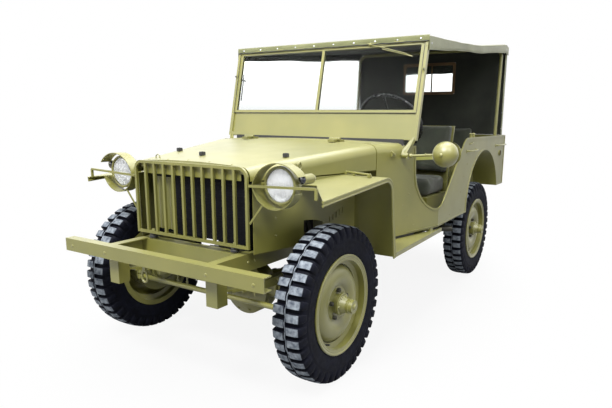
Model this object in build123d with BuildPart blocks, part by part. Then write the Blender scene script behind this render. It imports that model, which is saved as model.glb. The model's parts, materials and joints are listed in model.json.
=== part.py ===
from build123d import *
import os
from math import cos, pi, radians, sin

os.makedirs("parts", exist_ok=True)

# A light four-wheel-drive army car with a canvas top, in millimetres.
# X runs to the vehicle's left, the front faces -Y, Z is up and the ground is z = 0.
# The origin is on the centreline, midway between the axles. Lengths along the car are
# given from the front axle, so "behind_front(530)" is 530 mm behind it.

# ---- running gear ----
wheelbase = 2020
front_axle_y = -wheelbase / 2
rear_axle_y = wheelbase / 2
tyre_radius = 357
tyre_width = 146
wheel_centre_x = 606
hub_reach = 122
spindle_radius = 20
shaft_gap = 0.05
kingpin_x = 500
kingpin_radius = 14
ball_radius = 72
bowl_gap = 6
bowl_wall = 9
steering_arm = 150
tie_rod_radius = 13
axle_tube_radius = 35
diff_x = 150
diff_radius = 128
diff_cover = 108
pinion_radius = 42
pinion_reach = 190
spring_width = 45

# ---- frame ----
rail_outer_x = 330
rail_width = 45
rail_bottom = 515
rail_top = 594
rail_wall = 4
bumper_half = 610
bumper_front = -483
bumper_depth = 47
bumper_bottom = 533
bumper_wall = 5
frame_end = 2610

# ---- front sheet metal ----
sheet = 3
seat_gap = 0.3
grille_half = 353
grille_front = -264
grille_bottom = 619
grille_top = 971
grille_bar = 12
grille_bar_count = 10
hood_front = -246
hood_rear = 526
hood_front_top = 980
hood_rear_top = 1056
hood_crown = 10
fender_top = 906
hood_corner = 48
hood_gap = 6
fender_lip = 28
fender_tip = -263
lamp_x = 495
lamp_front = -224
lamp_z = 902
lamp_radius = 80

# ---- body ----
body_half = 700
fender_half = body_half + fender_lip
cowl_rear = 775
flare_end = 1100
body_rear = 2640
body_top = 1058
sill_bottom = 530
rear_floor_top = 655
riser_station = 1600
arch_y = 2053
arch_z = 552
arch_radius = 405
housing_inner_x = 512

# ---- windshield and top ----
shield_half = 675
shield_foot = 762
shield_foot_z = 1064
shield_height = 570
shield_lean = 12.8
shield_thickness = 25
shield_bar = 22
pane_bottom = 149
pane_bar = 18
pane_thickness = 5
roof_rear = 2640
roof_rear_z = 1782
canvas = 8


def behind_front(distance):
    return distance + front_axle_y


def slice_at(distance):
    """The plane across the car, this far behind the front axle: local x is X, local y is Z."""
    return Plane.XZ.offset(-behind_front(distance))


def side_x(distance):
    """Outer half width of the body, which tapers straight from the grille to the flare's end."""
    taper = (body_half - grille_half) / (flare_end - grille_front)
    return min(body_half, grille_half + taper * (distance - grille_front))


# ---- side rails: two channels, open inwards ----
rail_front = bumper_front + bumper_depth
rail_length = frame_end - rail_front
rail_height = rail_top - rail_bottom
rail_x = rail_outer_x - rail_width / 2
rail_z = (rail_top + rail_bottom) / 2
with BuildPart() as side_rails:
    with BuildSketch(slice_at(rail_front)):
        with Locations((rail_x, rail_z)):
            Rectangle(rail_width, rail_height)
        with Locations((rail_x - rail_wall, rail_z)):
            Rectangle(rail_width, rail_height - 2 * rail_wall, mode=Mode.SUBTRACT)
    extrude(amount=-rail_length)
    mirror(about=Plane.YZ)
side_rails.part.label = "side_rails"
export_step(side_rails.part, "parts/side_rails.step")

# ---- cross-members: channels that end against the rails' webs ----
cross_width = 60
hitch_spacing_x = 90
hitch_spacing_z = 36
hitch_hole = 5.5
cross_half = rail_outer_x - rail_wall
cross_height = rail_height - 2 * rail_wall
cross_stations = [-235, 1180, 1640, 2230, frame_end - cross_width / 2]
floor_top = rail_top + sheet
with BuildPart() as cross_members:
    for station in cross_stations:
        with BuildSketch(Plane.YZ.offset(-cross_half)):
            with Locations((behind_front(station), rail_z)):
                Rectangle(cross_width, cross_height)
            with Locations((behind_front(station), rail_z - rail_wall)):
                Rectangle(cross_width - 2 * rail_wall, cross_height, mode=Mode.SUBTRACT)
        extrude(amount=2 * cross_half)
    # bolt holes for a tow hitch, through the last member's rear wall
    with BuildSketch(slice_at(frame_end)):
        with Locations((0, rail_z)):
            with GridLocations(hitch_spacing_x, hitch_spacing_z, 2, 2):
                Circle(hitch_hole)
    extrude(amount=rail_wall, mode=Mode.SUBTRACT)
cross_members.part.label = "cross_members"
export_step(cross_members.part, "parts/cross_members.step")

# ---- front bumper: a channel open to the rear ----
bumper_height = rail_top - bumper_bottom
bumper_z = (rail_top + bumper_bottom) / 2
with BuildPart() as front_bumper:
    with BuildSketch(Plane.YZ.offset(-bumper_half)):
        with Locations((behind_front(bumper_front + bumper_depth / 2), bumper_z)):
            Rectangle(bumper_depth, bumper_height)
        with Locations((behind_front(bumper_front + bumper_depth / 2 + bumper_wall), bumper_z)):
            Rectangle(bumper_depth, bumper_height - 2 * bumper_wall, mode=Mode.SUBTRACT)
    extrude(amount=2 * bumper_half)
front_bumper.part.label = "front_bumper"
export_step(front_bumper.part, "parts/front_bumper.step")

# ---- leaf springs, each with its two hangers ----
leaf_count = 5
leaf_thickness = 8
pad_top = tyre_radius + axle_tube_radius + 8
spring_reach = 415
spring_rise = 34
spring_arc = (spring_reach**2 + spring_rise**2) / (2 * spring_rise)
hanger_width = 62
hanger_length = 60
hanger_plate = 6
hanger_foot = 408
eye_radius = 12
eye_z = pad_top + leaf_count * leaf_thickness + spring_rise - leaf_thickness / 2
with BuildPart() as leaf_springs:
    for axle_y in (front_axle_y, rear_axle_y):
        with BuildSketch(Plane.YZ.offset(rail_x - spring_width / 2)):
            for leaf in range(leaf_count):
                half = spring_reach * (leaf + 2) / (leaf_count + 1)
                rise = spring_arc - (spring_arc**2 - half**2) ** 0.5
                low = pad_top + leaf * leaf_thickness
                high = low + leaf_thickness
                with BuildLine():
                    ThreePointArc((axle_y - half, low + rise), (axle_y, low), (axle_y + half, low + rise))
                    Line((axle_y + half, low + rise), (axle_y + half, high + rise))
                    ThreePointArc((axle_y + half, high + rise), (axle_y, high), (axle_y - half, high + rise))
                    Line((axle_y - half, high + rise), (axle_y - half, low + rise))
                make_face()
        extrude(amount=spring_width)
        for end in (-1, 1):
            eye_y = axle_y + end * spring_reach
            with BuildSketch(Plane.YZ.offset(rail_x - hanger_width / 2)):
                with Locations((eye_y, (rail_bottom + hanger_foot) / 2)):
                    Rectangle(hanger_length, rail_bottom - hanger_foot)
            extrude(amount=hanger_plate)
            with BuildSketch(Plane.YZ.offset(rail_x + hanger_width / 2)):
                with Locations((eye_y, (rail_bottom + hanger_foot) / 2)):
                    Rectangle(hanger_length, rail_bottom - hanger_foot)
            extrude(amount=-hanger_plate)
            with BuildSketch(Plane.YZ.offset(rail_x - hanger_width / 2)):
                with Locations((eye_y + end * (hanger_length - hanger_plate) / 2, (rail_bottom + hanger_foot) / 2)):
                    Rectangle(hanger_plate, rail_bottom - hanger_foot)
            extrude(amount=hanger_width)
            with BuildSketch(Plane.YZ.offset(rail_x - hanger_width / 2)):
                with Locations((eye_y, eye_z)):
                    Circle(eye_radius)
            extrude(amount=hanger_width)
    mirror(about=Plane.YZ)
leaf_springs.part.label = "leaf_springs"
export_step(leaf_springs.part, "parts/leaf_springs.step")


# ---- axles: tube, round differential housing, spring pads ----
pad_lip = 5


def axle_body(axle_y, half_length, nose):
    """Axle tube with its differential on the car's left; nose is the side its pinion points to."""
    with BuildPart() as body:
        with BuildSketch(Plane.YZ.offset(-half_length)):
            with Locations((axle_y, tyre_radius)):
                Circle(axle_tube_radius)
        extrude(amount=2 * half_length)
        with BuildSketch(Plane.XY.offset(tyre_radius)):
            with BuildLine():
                Polyline(
                    (diff_x, axle_y - nose * diff_cover),
                    (diff_x + 0.5 * diff_radius, axle_y - nose * 0.9 * diff_cover),
                    (diff_x + 0.85 * diff_radius, axle_y - nose * 0.62 * diff_cover),
                    (diff_x + diff_radius, axle_y - nose * 0.5 * diff_cover),
                    (diff_x + diff_radius, axle_y + nose * 0.3 * diff_cover),
                    (diff_x + 0.6 * diff_radius, axle_y + nose * 0.85 * diff_cover),
                    (diff_x + pinion_radius, axle_y + nose * (pinion_reach - 60)),
                    (diff_x + pinion_radius, axle_y + nose * pinion_reach),
                    (diff_x, axle_y + nose * pinion_reach),
                    close=True,
                )
            make_face()
        revolve(axis=Axis((diff_x, axle_y, tyre_radius), (0, 1, 0)), revolution_arc=360)
        for pad_x in (-rail_x, rail_x):
            with BuildSketch(Plane.XY.offset(tyre_radius)):
                with Locations((pad_x, axle_y)):
                    Rectangle(spring_width + 2 * pad_lip, 110)
            extrude(amount=pad_top - tyre_radius)
    return body.part


front_body = axle_body(front_axle_y, kingpin_x - 40, 1)
with BuildPart() as front_axle:
    add(front_body)
    for end in (-1, 1):
        with Locations((end * kingpin_x, front_axle_y, tyre_radius)):
            Sphere(ball_radius)
            Cylinder(kingpin_radius + shaft_gap, 3 * ball_radius, mode=Mode.SUBTRACT)
front_axle.part.label = "front_axle"
export_step(front_axle.part, "parts/front_axle.step")

backing_x = wheel_centre_x - 80
backing_radius = 138
backing_plate = 6
spindle_end = wheel_centre_x + 96
rear_body = axle_body(rear_axle_y, backing_x, -1)
with BuildPart() as rear_axle:
    add(rear_body)
    for end in (-1, 1):
        with BuildSketch(Plane.YZ.offset(end * backing_x)):
            with Locations((rear_axle_y, tyre_radius)):
                Circle(backing_radius)
        extrude(amount=-end * backing_plate)
        with BuildSketch(Plane.YZ.offset(end * backing_x)):
            with Locations((rear_axle_y, tyre_radius)):
                Circle(spindle_radius)
        extrude(amount=end * (spindle_end - backing_x))
rear_axle.part.label = "rear_axle"
export_step(rear_axle.part, "parts/rear_axle.step")

# ---- steering knuckles: a half bowl round each ball, a spindle and an arm to the tie rod ----
bowl_inner = ball_radius + bowl_gap
bowl_outer = bowl_inner + bowl_wall
arm_width = 30
arm_thickness = 16
arm_z = tyre_radius + 6
rod_drop = 26
rod_end = 24
joint_radius = 8
for name, end in (("left", 1), ("right", -1)):
    centre = (end * kingpin_x, front_axle_y, tyre_radius)
    with BuildPart() as knuckle:
        with Locations(centre):
            Sphere(bowl_outer)
            Sphere(bowl_inner, mode=Mode.SUBTRACT)
        with Locations((end * (kingpin_x - bowl_outer - 24), front_axle_y, tyre_radius)):
            Box(2 * bowl_outer, 4 * bowl_outer, 4 * bowl_outer, mode=Mode.SUBTRACT)
        # kingpins reach into the ball from above and below
        for pole in (-1, 1):
            with BuildSketch(Plane.XY.offset(tyre_radius + pole * (ball_radius - 34))):
                with Locations((end * kingpin_x, front_axle_y)):
                    Circle(kingpin_radius)
            extrude(amount=pole * (34 + bowl_gap + 14))
            with BuildSketch(Plane.XY.offset(tyre_radius + pole * (bowl_inner + 2))):
                with Locations((end * kingpin_x, front_axle_y)):
                    Circle(26)
            extrude(amount=pole * 18)
        # backing plate and spindle
        with BuildSketch(Plane.YZ.offset(end * backing_x)):
            with Locations((front_axle_y, tyre_radius)):
                Circle(backing_radius)
                Circle(bowl_inner, mode=Mode.SUBTRACT)
        extrude(amount=end * 6)
        with BuildSketch(Plane.YZ.offset(end * (kingpin_x + bowl_inner + 1))):
            with Locations((front_axle_y, tyre_radius)):
                Circle(spindle_radius)
        extrude(amount=end * (spindle_end - kingpin_x - bowl_inner - 1))
        # arm to the tie rod
        with BuildSketch(Plane.XY.offset(arm_z - arm_thickness / 2)):
            with Locations((end * kingpin_x, front_axle_y - (steering_arm + bowl_inner) / 2)):
                Rectangle(arm_width, steering_arm - bowl_inner)
            with Locations((end * kingpin_x, front_axle_y - steering_arm)):
                Circle(arm_width / 2)
        extrude(amount=arm_thickness)
        with BuildSketch(Plane.XY.offset(arm_z - arm_thickness / 2)):
            with Locations((end * kingpin_x, front_axle_y - steering_arm)):
                Circle(joint_radius)
        extrude(amount=-rod_drop - rod_end / 2 + arm_thickness / 2)
    knuckle.part.label = f"knuckle_{name}"
    export_step(knuckle.part, f"parts/knuckle_{name}.step")

# ---- tie rod, between the two arms ----
with BuildPart() as tie_rod:
    with BuildSketch(Plane.YZ.offset(-kingpin_x)):
        with Locations((front_axle_y - steering_arm, arm_z - rod_drop)):
            Circle(tie_rod_radius)
    extrude(amount=2 * kingpin_x)
    for end in (-1, 1):
        with BuildSketch(Plane.XY.offset(arm_z - rod_drop - rod_end / 2)):
            with Locations((end * kingpin_x, front_axle_y - steering_arm)):
                Circle(arm_width / 2 + 2)
        extrude(amount=rod_end)
    for end in (-1, 1):
        with BuildSketch(Plane.XY.offset(arm_z - rod_drop - rod_end)):
            with Locations((end * kingpin_x, front_axle_y - steering_arm)):
                Circle(joint_radius + shaft_gap)
        extrude(amount=2 * rod_end, mode=Mode.SUBTRACT)
tie_rod.part.label = "tie_rod"
export_step(tie_rod.part, "parts/tie_rod.step")


# ---- wheels: drop-centre rim, bulged disc, drum and hub, turned about X ----
def wheel_part(centre_x, centre_y, centre_z, end, bore):
    """One pressed wheel; end is 1 with its outer face towards +X. A bore brings the hub and drum."""
    with BuildPart() as wheel:
        with BuildSketch(Plane.XZ.offset(-centre_y)):
            for outline in [rim_section] + ([hub_section] if bore else []):
                with BuildLine():
                    Polyline([(centre_x + end * u, centre_z + r) for u, r in outline], close=True)
                make_face()
            disc = [(centre_x + end * u, centre_z + r) for u, r in disc_section]
            with BuildLine():
                Polyline(disc[0:3])
                ThreePointArc(disc[2], disc[3], disc[4])
                Line(disc[4], disc[5])
                ThreePointArc(disc[5], disc[6], disc[7])
                Polyline(disc[7:] + disc[:1])
            make_face()
        revolve(axis=Axis((centre_x, centre_y, centre_z), (1, 0, 0)), revolution_arc=360)
        if bore:
            with BuildSketch(Plane.YZ.offset(centre_x - end * rim_half)):
                with Locations((centre_y, centre_z)):
                    Circle(bore)
            extrude(amount=end * (rim_half + spindle_end - wheel_centre_x + 2), mode=Mode.SUBTRACT)
    return wheel.part


def tyre_point(offset, radius, turn):
    """Point on a tyre by its offset along the axle, its radius and its turn."""
    return Vector(offset, radius * cos(turn), radius * sin(turn))


def many_sided(offset, radius):
    """Ring of turns and points whose straight sides stay clear of the radius."""
    corner = radius / cos(pi / bead_sides)
    turns = [2 * pi * side / bead_sides for side in range(bead_sides)]
    return [(turn, tyre_point(offset, corner, turn)) for turn in turns]


def triangle_band(first, second):
    """Flat triangles that join two rings of turns and points."""
    rings = [sorted(first), sorted(second)]
    rings = [ring + [(ring[0][0] + 2 * pi, ring[0][1])] for ring in rings]
    place = [0, 0]
    faces = []
    while place[0] + 1 < len(rings[0]) or place[1] + 1 < len(rings[1]):
        ahead = [ring[at + 1][0] if at + 1 < len(ring) else 3 * pi for ring, at in zip(rings, place)]
        side = 0 if ahead[0] < ahead[1] else 1
        corners = [rings[0][place[0]][1], rings[1][place[1]][1], rings[side][place[side] + 1][1]]
        faces.append(Face(Wire.make_polygon(corners)))
        place[side] += 1
    return faces


def tyre_part(centre_x, centre_y, centre_z):
    """One tyre: two staggered rows of lugs beside a rib, on a carcass seated in the rim."""
    pitch = 2 * pi / lug_count
    lug_start = (1 - lug_share) / 2 * pitch
    lug_end = (1 + lug_share) / 2 * pitch
    taper = shoulder_radius / tyre_radius
    faces = []
    ribs = []
    for end, phase in ((-1, 0), (1, pitch / 2)):
        rib, shoulder = end * rib_half, end * tread_half
        crown = []
        edge = []
        for lug in range(lug_count):
            turn = phase + lug * pitch
            start, finish, groove = turn + lug_start, turn + lug_end, turn + pitch
            # the inner and the outer point at the lug's start, its end, the groove and the next lug
            section = [
                (tyre_point(rib, radius, at), tyre_point(shoulder, radius * taper, at))
                for at, radius in (
                    (start, tyre_radius),
                    (finish, tyre_radius),
                    (groove, tyre_radius - lug_depth),
                    (groove + lug_start, tyre_radius),
                )
            ]
            for here, beyond in zip(section, section[1:]):
                faces.append(Face(Wire.make_polygon([here[0], beyond[0], beyond[1], here[1]])))
            faces.append(Face(Wire.make_polygon([point[0] for point in section[1:]])))
            for at, point in zip((start, finish, groove), section):
                edge.append((at % (2 * pi), point[1]))
                if at != groove:
                    crown.append((at % (2 * pi), point[0]))
        ribs.append(crown)
        bead = many_sided(end * rim_half, rim_edge + bead_gap)
        bore = many_sided(end * rim_half, rim_seat + bead_gap)
        faces += triangle_band(edge, bead)
        bead_wire, bore_wire = [Wire.make_polygon([point for _, point in ring]) for ring in (bead, bore)]
        faces.append(Face(bead_wire, [bore_wire]))
    faces += triangle_band(*ribs)
    ends = [many_sided(end * rim_half, rim_seat + bead_gap) for end in (-1, 1)]
    for side in range(bead_sides):
        beyond = (side + 1) % bead_sides
        corners = [ends[0][side][1], ends[0][beyond][1], ends[1][beyond][1], ends[1][side][1]]
        faces.append(Face(Wire.make_polygon(corners)))
    return Part(Solid(Shell(faces)).moved(Location((centre_x, centre_y, centre_z))).wrapped)


rim_half = 62
rim_edge = 228
rim_seat = 206
rim_well = 184
rim_wall = 4
# offset from the centre plane, radius
rim_section = [
    (-rim_half, rim_edge), (-rim_half, rim_seat), (-30, rim_seat), (-22, rim_well), (22, rim_well),
    (30, rim_seat), (rim_half, rim_seat), (rim_half, rim_edge), (rim_half + rim_wall, rim_edge),
    (rim_half + rim_wall, rim_seat - rim_wall), (34, rim_seat - rim_wall), (26, rim_well - rim_wall),
    (-26, rim_well - rim_wall), (-34, rim_seat - rim_wall), (-rim_half - rim_wall, rim_seat - rim_wall),
    (-rim_half - rim_wall, rim_edge),
]
hub_radius = 48
cap_radius = 30
drum_radius = 124
drum_wall = 10
disc_seat = 26
# pressed disc: the flat that the nuts clamp, then the bulge's outer and inner arcs: offset, radius
disc_section = [
    (disc_seat + 7, hub_radius), (disc_seat + 7, 80), (41, 91), (51, 122), (14, rim_well - rim_wall),
    (5, rim_well - rim_wall), (44, 123), (35, 95), (disc_seat, 84), (disc_seat, hub_radius),
]
# hub, its cap and the brake drum: offset, radius
hub_section = [
    (hub_reach, 0), (hub_reach, cap_radius), (spindle_end - wheel_centre_x - 6, cap_radius + 2),
    (54, hub_radius), (disc_seat, hub_radius), (disc_seat, 84), (disc_seat - 6, drum_radius), (-rim_half, drum_radius),
    (-rim_half, drum_radius - drum_wall), (10, drum_radius - drum_wall), (10, hub_radius), (-12, hub_radius),
    (-12, 0),
]
tread_half = tyre_width / 2
lug_count = 40
lug_depth = 17
lug_share = 0.58
shoulder_radius = 344
bead_gap = 0.1
bead_sides = 20
rib_half = 8
corners = [("front_left", 1, front_axle_y), ("front_right", -1, front_axle_y),
           ("rear_left", 1, rear_axle_y), ("rear_right", -1, rear_axle_y)]
for name, end, axle_y in corners:
    wheel = wheel_part(end * wheel_centre_x, axle_y, tyre_radius, end, spindle_radius + shaft_gap)
    wheel.label = f"wheel_{name}"
    export_step(wheel, f"parts/wheel_{name}.step")
    tyre = tyre_part(end * wheel_centre_x, axle_y, tyre_radius)
    tyre.label = f"tyre_{name}"
    export_step(tyre, f"parts/tyre_{name}.step")

# ---- engine (one plain block), gearbox and transfer box ----
engine_front = 60
engine_length = 440
engine_bottom = 500
engine_height = 350
engine_width = 260
bell_radius = 150
bell_length = 90
shaft_line = 520
gearbox_length = 300
transfer_length = 190
bell_front = engine_front + engine_length
gearbox_front = bell_front + bell_length
transfer_front = gearbox_front + gearbox_length
transfer_rear = transfer_front + transfer_length
with BuildPart() as powertrain:
    with BuildSketch(Plane.XY.offset(engine_bottom)):
        with Locations((0, behind_front(engine_front + engine_length / 2))):
            Rectangle(engine_width, engine_length)
    extrude(amount=engine_height)
    with BuildSketch(slice_at(bell_front)):
        with Locations((0, shaft_line)):
            Circle(bell_radius)
    extrude(amount=-bell_length)
    with BuildSketch(slice_at(gearbox_front)):
        with Locations((0, shaft_line - 15)):
            RectangleRounded(200, 160, 30)
    extrude(amount=-gearbox_length)
    with BuildSketch(slice_at(transfer_front)):
        with Locations((diff_x / 2, shaft_line - 50)):
            RectangleRounded(diff_x + 160, 170, 40)
    extrude(amount=-transfer_length)
    # engine arms on the rails, and the bar that carries the transfer box
    with BuildSketch(Plane.XY.offset(rail_top)):
        with Locations((0, behind_front(engine_front + 70))):
            Rectangle(2 * rail_outer_x, 60)
    extrude(amount=10)
    with BuildSketch(Plane.XY.offset(rail_bottom + rail_wall)):
        with Locations((0, behind_front(transfer_front + transfer_length / 2))):
            Rectangle(2 * cross_half, 60)
    extrude(amount=14)
powertrain.part.label = "powertrain"
export_step(powertrain.part, "parts/powertrain.step")

# ---- drive shafts, from the transfer box to each differential's pinion ----
shaft_tube = 25
joint_length = 34
transfer_out_z = shaft_line - 80
# pinion end, transfer end, sense along Y
shaft_runs = [
    (front_axle_y + pinion_reach, behind_front(transfer_front), 1),
    (rear_axle_y - pinion_reach, behind_front(transfer_rear), -1),
]
with BuildPart() as drive_shafts:
    for pinion_y, transfer_y, sense in shaft_runs:
        for face_y, face_z, facing in ((pinion_y, tyre_radius, sense), (transfer_y, transfer_out_z, -sense)):
            with BuildSketch(Plane.XZ.offset(-face_y)):
                with Locations((diff_x, face_z)):
                    Circle(shaft_tube + 8)
            extrude(amount=-facing * joint_length)
        start = Vector(diff_x, pinion_y + sense * joint_length / 2, tyre_radius)
        finish = Vector(diff_x, transfer_y - sense * joint_length / 2, transfer_out_z)
        run = finish - start
        with BuildSketch(Plane(origin=start, x_dir=(1, 0, 0), z_dir=run)):
            Circle(shaft_tube)
        extrude(amount=run.length)
drive_shafts.part.label = "drive_shafts"
export_step(drive_shafts.part, "parts/drive_shafts.step")

# ---- exhaust: down from the engine, silencer beside the left rail, tail to the left side ----
pipe_radius = 20
silencer_radius = 52
silencer_x = 440
exhaust_z = 455
exhaust_path = [
    (engine_width / 2, behind_front(430), 640),
    (235, behind_front(430), 640),
    (235, behind_front(430), exhaust_z),
    (235, behind_front(600), exhaust_z),
    (silencer_x, behind_front(760), exhaust_z),
    (silencer_x, behind_front(1320), exhaust_z),
    (675, behind_front(1450), exhaust_z),
]
with BuildPart() as exhaust:
    with BuildLine() as pipe_line:
        FilletPolyline(exhaust_path, radius=45)
    with BuildSketch(Plane(origin=exhaust_path[0], x_dir=(0, 1, 0), z_dir=pipe_line.line % 0)):
        Circle(pipe_radius)
    sweep()
    with BuildSketch(slice_at(860)):
        with Locations((silencer_x, exhaust_z)):
            Circle(silencer_radius)
    extrude(amount=-380)
exhaust.part.label = "exhaust"
export_step(exhaust.part, "parts/exhaust.step")

# ---- radiator: core, header tank, side channels ----
core_left = 311
core_right = -140
baffle_right = -292
rib_pitch = 36
core_station = -185
core_bottom = 625
core_top = 895
with BuildPart() as radiator:
    with BuildSketch(Plane.XY.offset(core_bottom)):
        with Locations(((core_left + core_right) / 2, behind_front(core_station))):
            Rectangle(core_left - core_right, 60)
    extrude(amount=core_top - core_bottom)
    with BuildSketch(Plane.XY.offset(core_top)):
        with Locations(((core_left + baffle_right) / 2, behind_front(core_station))):
            RectangleRounded(core_left - baffle_right, 70, 20)
    extrude(amount=40)
    # ribbed baffle beside the core
    with BuildSketch(Plane.XY.offset(core_bottom)):
        with Locations(((core_right + baffle_right) / 2, behind_front(core_station))):
            Rectangle(core_right - baffle_right, 30)
        for rib in range(4):
            with Locations((baffle_right + 22 + rib * rib_pitch, behind_front(core_station) - 15)):
                Circle(9)
    extrude(amount=core_top - core_bottom)
    # feet on the frame
    for foot_x in (core_left - 20, baffle_right + 20):
        with BuildSketch(Plane.XY.offset(rail_top + seat_gap)):
            with Locations((foot_x, behind_front(core_station))):
                Rectangle(30, 40)
        extrude(amount=core_bottom - rail_top - seat_gap)
radiator.part.label = "radiator"
export_step(radiator.part, "parts/radiator.step")

# ---- grille: a hoop of flat bar with upright bars, on two rubber mounts ----
grille_height = grille_top - grille_bottom
grille_depth = 12
hoop_bar = 13
hoop_corner = 46
grille_pitch = 2 * (grille_half - hoop_bar) / (grille_bar_count + 1)
mount_x = 262
with BuildPart() as grille_guard:
    with BuildSketch(slice_at(grille_front)):
        with BuildLine():
            hoop = FilletPolyline(
                (0, grille_bottom), (grille_half, grille_bottom), (grille_half, grille_top), (0, grille_top),
                radius=[1, hoop_corner],
            )
            mirror(hoop, about=Plane.YZ)
        make_face()
        with BuildLine():
            opening = FilletPolyline(
                (0, grille_bottom + hoop_bar), (grille_half - hoop_bar, grille_bottom + hoop_bar),
                (grille_half - hoop_bar, grille_top - hoop_bar), (0, grille_top - hoop_bar),
                radius=[1, hoop_corner - hoop_bar],
            )
            mirror(opening, about=Plane.YZ)
        make_face(mode=Mode.SUBTRACT)
        for bar in range(grille_bar_count):
            with Locations((-grille_half + hoop_bar + (bar + 1) * grille_pitch, (grille_top + grille_bottom) / 2)):
                Rectangle(grille_bar, grille_height - hoop_bar)
    extrude(amount=-grille_depth)
    with BuildSketch(Plane.XY.offset(rail_top - rail_wall)):
        with Locations((-mount_x, behind_front(-245)), (mount_x, behind_front(-245))):
            Circle(15)
    extrude(amount=grille_bottom - rail_top + rail_wall)
grille_guard.part.label = "grille_guard"
export_step(grille_guard.part, "parts/grille_guard.step")


# ---- hood: lofted skin with rolled shoulders, hinged on the cowl's front edge ----
def hood_outline(half, bottom, top, crown, corner, inset):
    """Closed outline of a hood or cowl section, drawn inset from its outer skin."""
    edge = half - inset
    roof = top - crown - inset
    with BuildLine() as outline:
        Line((-edge, bottom), (-edge, roof - corner))
        ThreePointArc(
            (-edge, roof - corner),
            (-edge + corner * (1 - cos(radians(45))), roof - corner * (1 - cos(radians(45)))),
            (-edge + corner, roof),
        )
        ThreePointArc((-edge + corner, roof), (0, top - inset), (edge - corner, roof))
        ThreePointArc(
            (edge - corner, roof),
            (edge - corner * (1 - cos(radians(45))), roof - corner * (1 - cos(radians(45)))),
            (edge, roof - corner),
        )
        Line((edge, roof - corner), (edge, bottom))
        Line((edge, bottom), (-edge, bottom))
    return outline.line


def section_face(distance, bottom, top, inset):
    outline = hood_outline(side_x(distance), bottom, top, hood_crown, hood_corner, inset)
    with BuildSketch(slice_at(distance)) as section:
        with BuildLine():
            add(outline)
        make_face()
    return section.sketch


def shell(front, rear, bottom, front_top, rear_top):
    """Skin between two stations, open below and at both ends."""
    margin = 20
    lift = margin * (rear_top - front_top) / (rear - front)
    outer = loft([section_face(front, bottom, front_top, 0), section_face(rear, bottom, rear_top, 0)])
    inner = loft([
        section_face(front - margin, bottom - margin, front_top - lift, sheet),
        section_face(rear + margin, bottom - margin, rear_top + lift, sheet),
    ])
    return outer - inner


# hinge barrels on the hood turn on pins that stand on the cowl
hinge_pin = 5
hinge_barrel = 9
hinge_length = 40
hinge_spots = [-300, 300]
hinge_z = hood_rear_top + hinge_barrel + 1
hinge_y = behind_front(hood_rear + hood_gap / 2)
hood_bottom = fender_top + hood_gap
flange_height = 60
hood_skin = shell(hood_front, hood_rear, hood_bottom, hood_front_top, hood_rear_top)
with BuildPart() as hood:
    add(hood_skin)
    with BuildSketch(slice_at(hood_front)):
        with Locations((0, hood_front_top - hood_crown - flange_height / 2)):
            Rectangle(2 * (grille_half - hood_corner), flange_height)
    extrude(amount=-sheet)
    for spot in hinge_spots:
        with BuildSketch(Plane.YZ.offset(spot - hinge_length / 2)):
            with Locations((hinge_y, hinge_z)):
                Circle(hinge_barrel)
            with Locations((hinge_y - 22, hinge_z - 8)):
                Rectangle(44, 12)
            with Locations((hinge_y, hinge_z)):
                Circle(hinge_pin + shaft_gap, mode=Mode.SUBTRACT)
        extrude(amount=hinge_length)
hood.part.label = "hood"
export_step(hood.part, "parts/hood.step")

# ---- cowl: lofted skin from the hood to the windshield, firewall and dashboard ----
cowl_front = hood_rear + hood_gap
firewall = cowl_front + 12
dash_depth = 150
column_angle = 36
wheel_x = 330
wheel_hub = Vector(wheel_x, behind_front(1168), 1157)
column_dir = Vector(0, -cos(radians(column_angle)), -sin(radians(column_angle)))
column_radius = 19
column_length = 880
cowl_skin = shell(cowl_front, cowl_rear, sill_bottom, hood_rear_top, hood_rear_top)
with BuildPart() as cowl:
    add(cowl_skin)
    with BuildSketch(slice_at(firewall)):
        with Locations((0, (floor_top + hood_rear_top - hood_corner) / 2)):
            Rectangle(2 * side_x(firewall) - sheet, hood_rear_top - hood_corner - floor_top)
        with Locations((0, hood_rear_top - hood_corner / 2 - hood_crown - sheet)):
            Rectangle(2 * (side_x(firewall) - hood_corner), hood_corner + hood_crown)
        with Locations((0, shaft_line)):
            Circle(bell_radius + 8, mode=Mode.SUBTRACT)
    extrude(amount=-sheet)
    with BuildSketch(slice_at(cowl_rear - sheet)):
        with Locations((0, hood_rear_top - hood_corner - hood_crown - dash_depth / 2)):
            Rectangle(2 * side_x(cowl_rear - sheet) - sheet, dash_depth)
        with Locations((0, hood_rear_top - hood_corner - hood_crown / 2)):
            Rectangle(2 * (side_x(cowl_rear - sheet) - hood_corner), 2 * hood_corner - hood_crown - sheet)
    extrude(amount=-sheet)
    for spot in hinge_spots:
        for end in (-1, 1):
            with BuildSketch(Plane.YZ.offset(spot + end * (hinge_length / 2 + 1))):
                with Locations((hinge_y, hinge_z)):
                    Circle(hinge_barrel)
                with Locations((hinge_y + 22, hinge_z - 8)):
                    Rectangle(44, 12)
            extrude(amount=end * 12)
        with BuildSketch(Plane.YZ.offset(spot - hinge_length / 2 - 2)):
            with Locations((hinge_y, hinge_z)):
                Circle(hinge_pin)
        extrude(amount=hinge_length + 4)
    # the steering column passes the dashboard and the firewall
    with BuildSketch(Plane(origin=wheel_hub, x_dir=(1, 0, 0), z_dir=column_dir)):
        Circle(column_radius + 2)
    extrude(amount=column_length, mode=Mode.SUBTRACT)
cowl.part.label = "cowl"
export_step(cowl.part, "parts/cowl.step")

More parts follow.
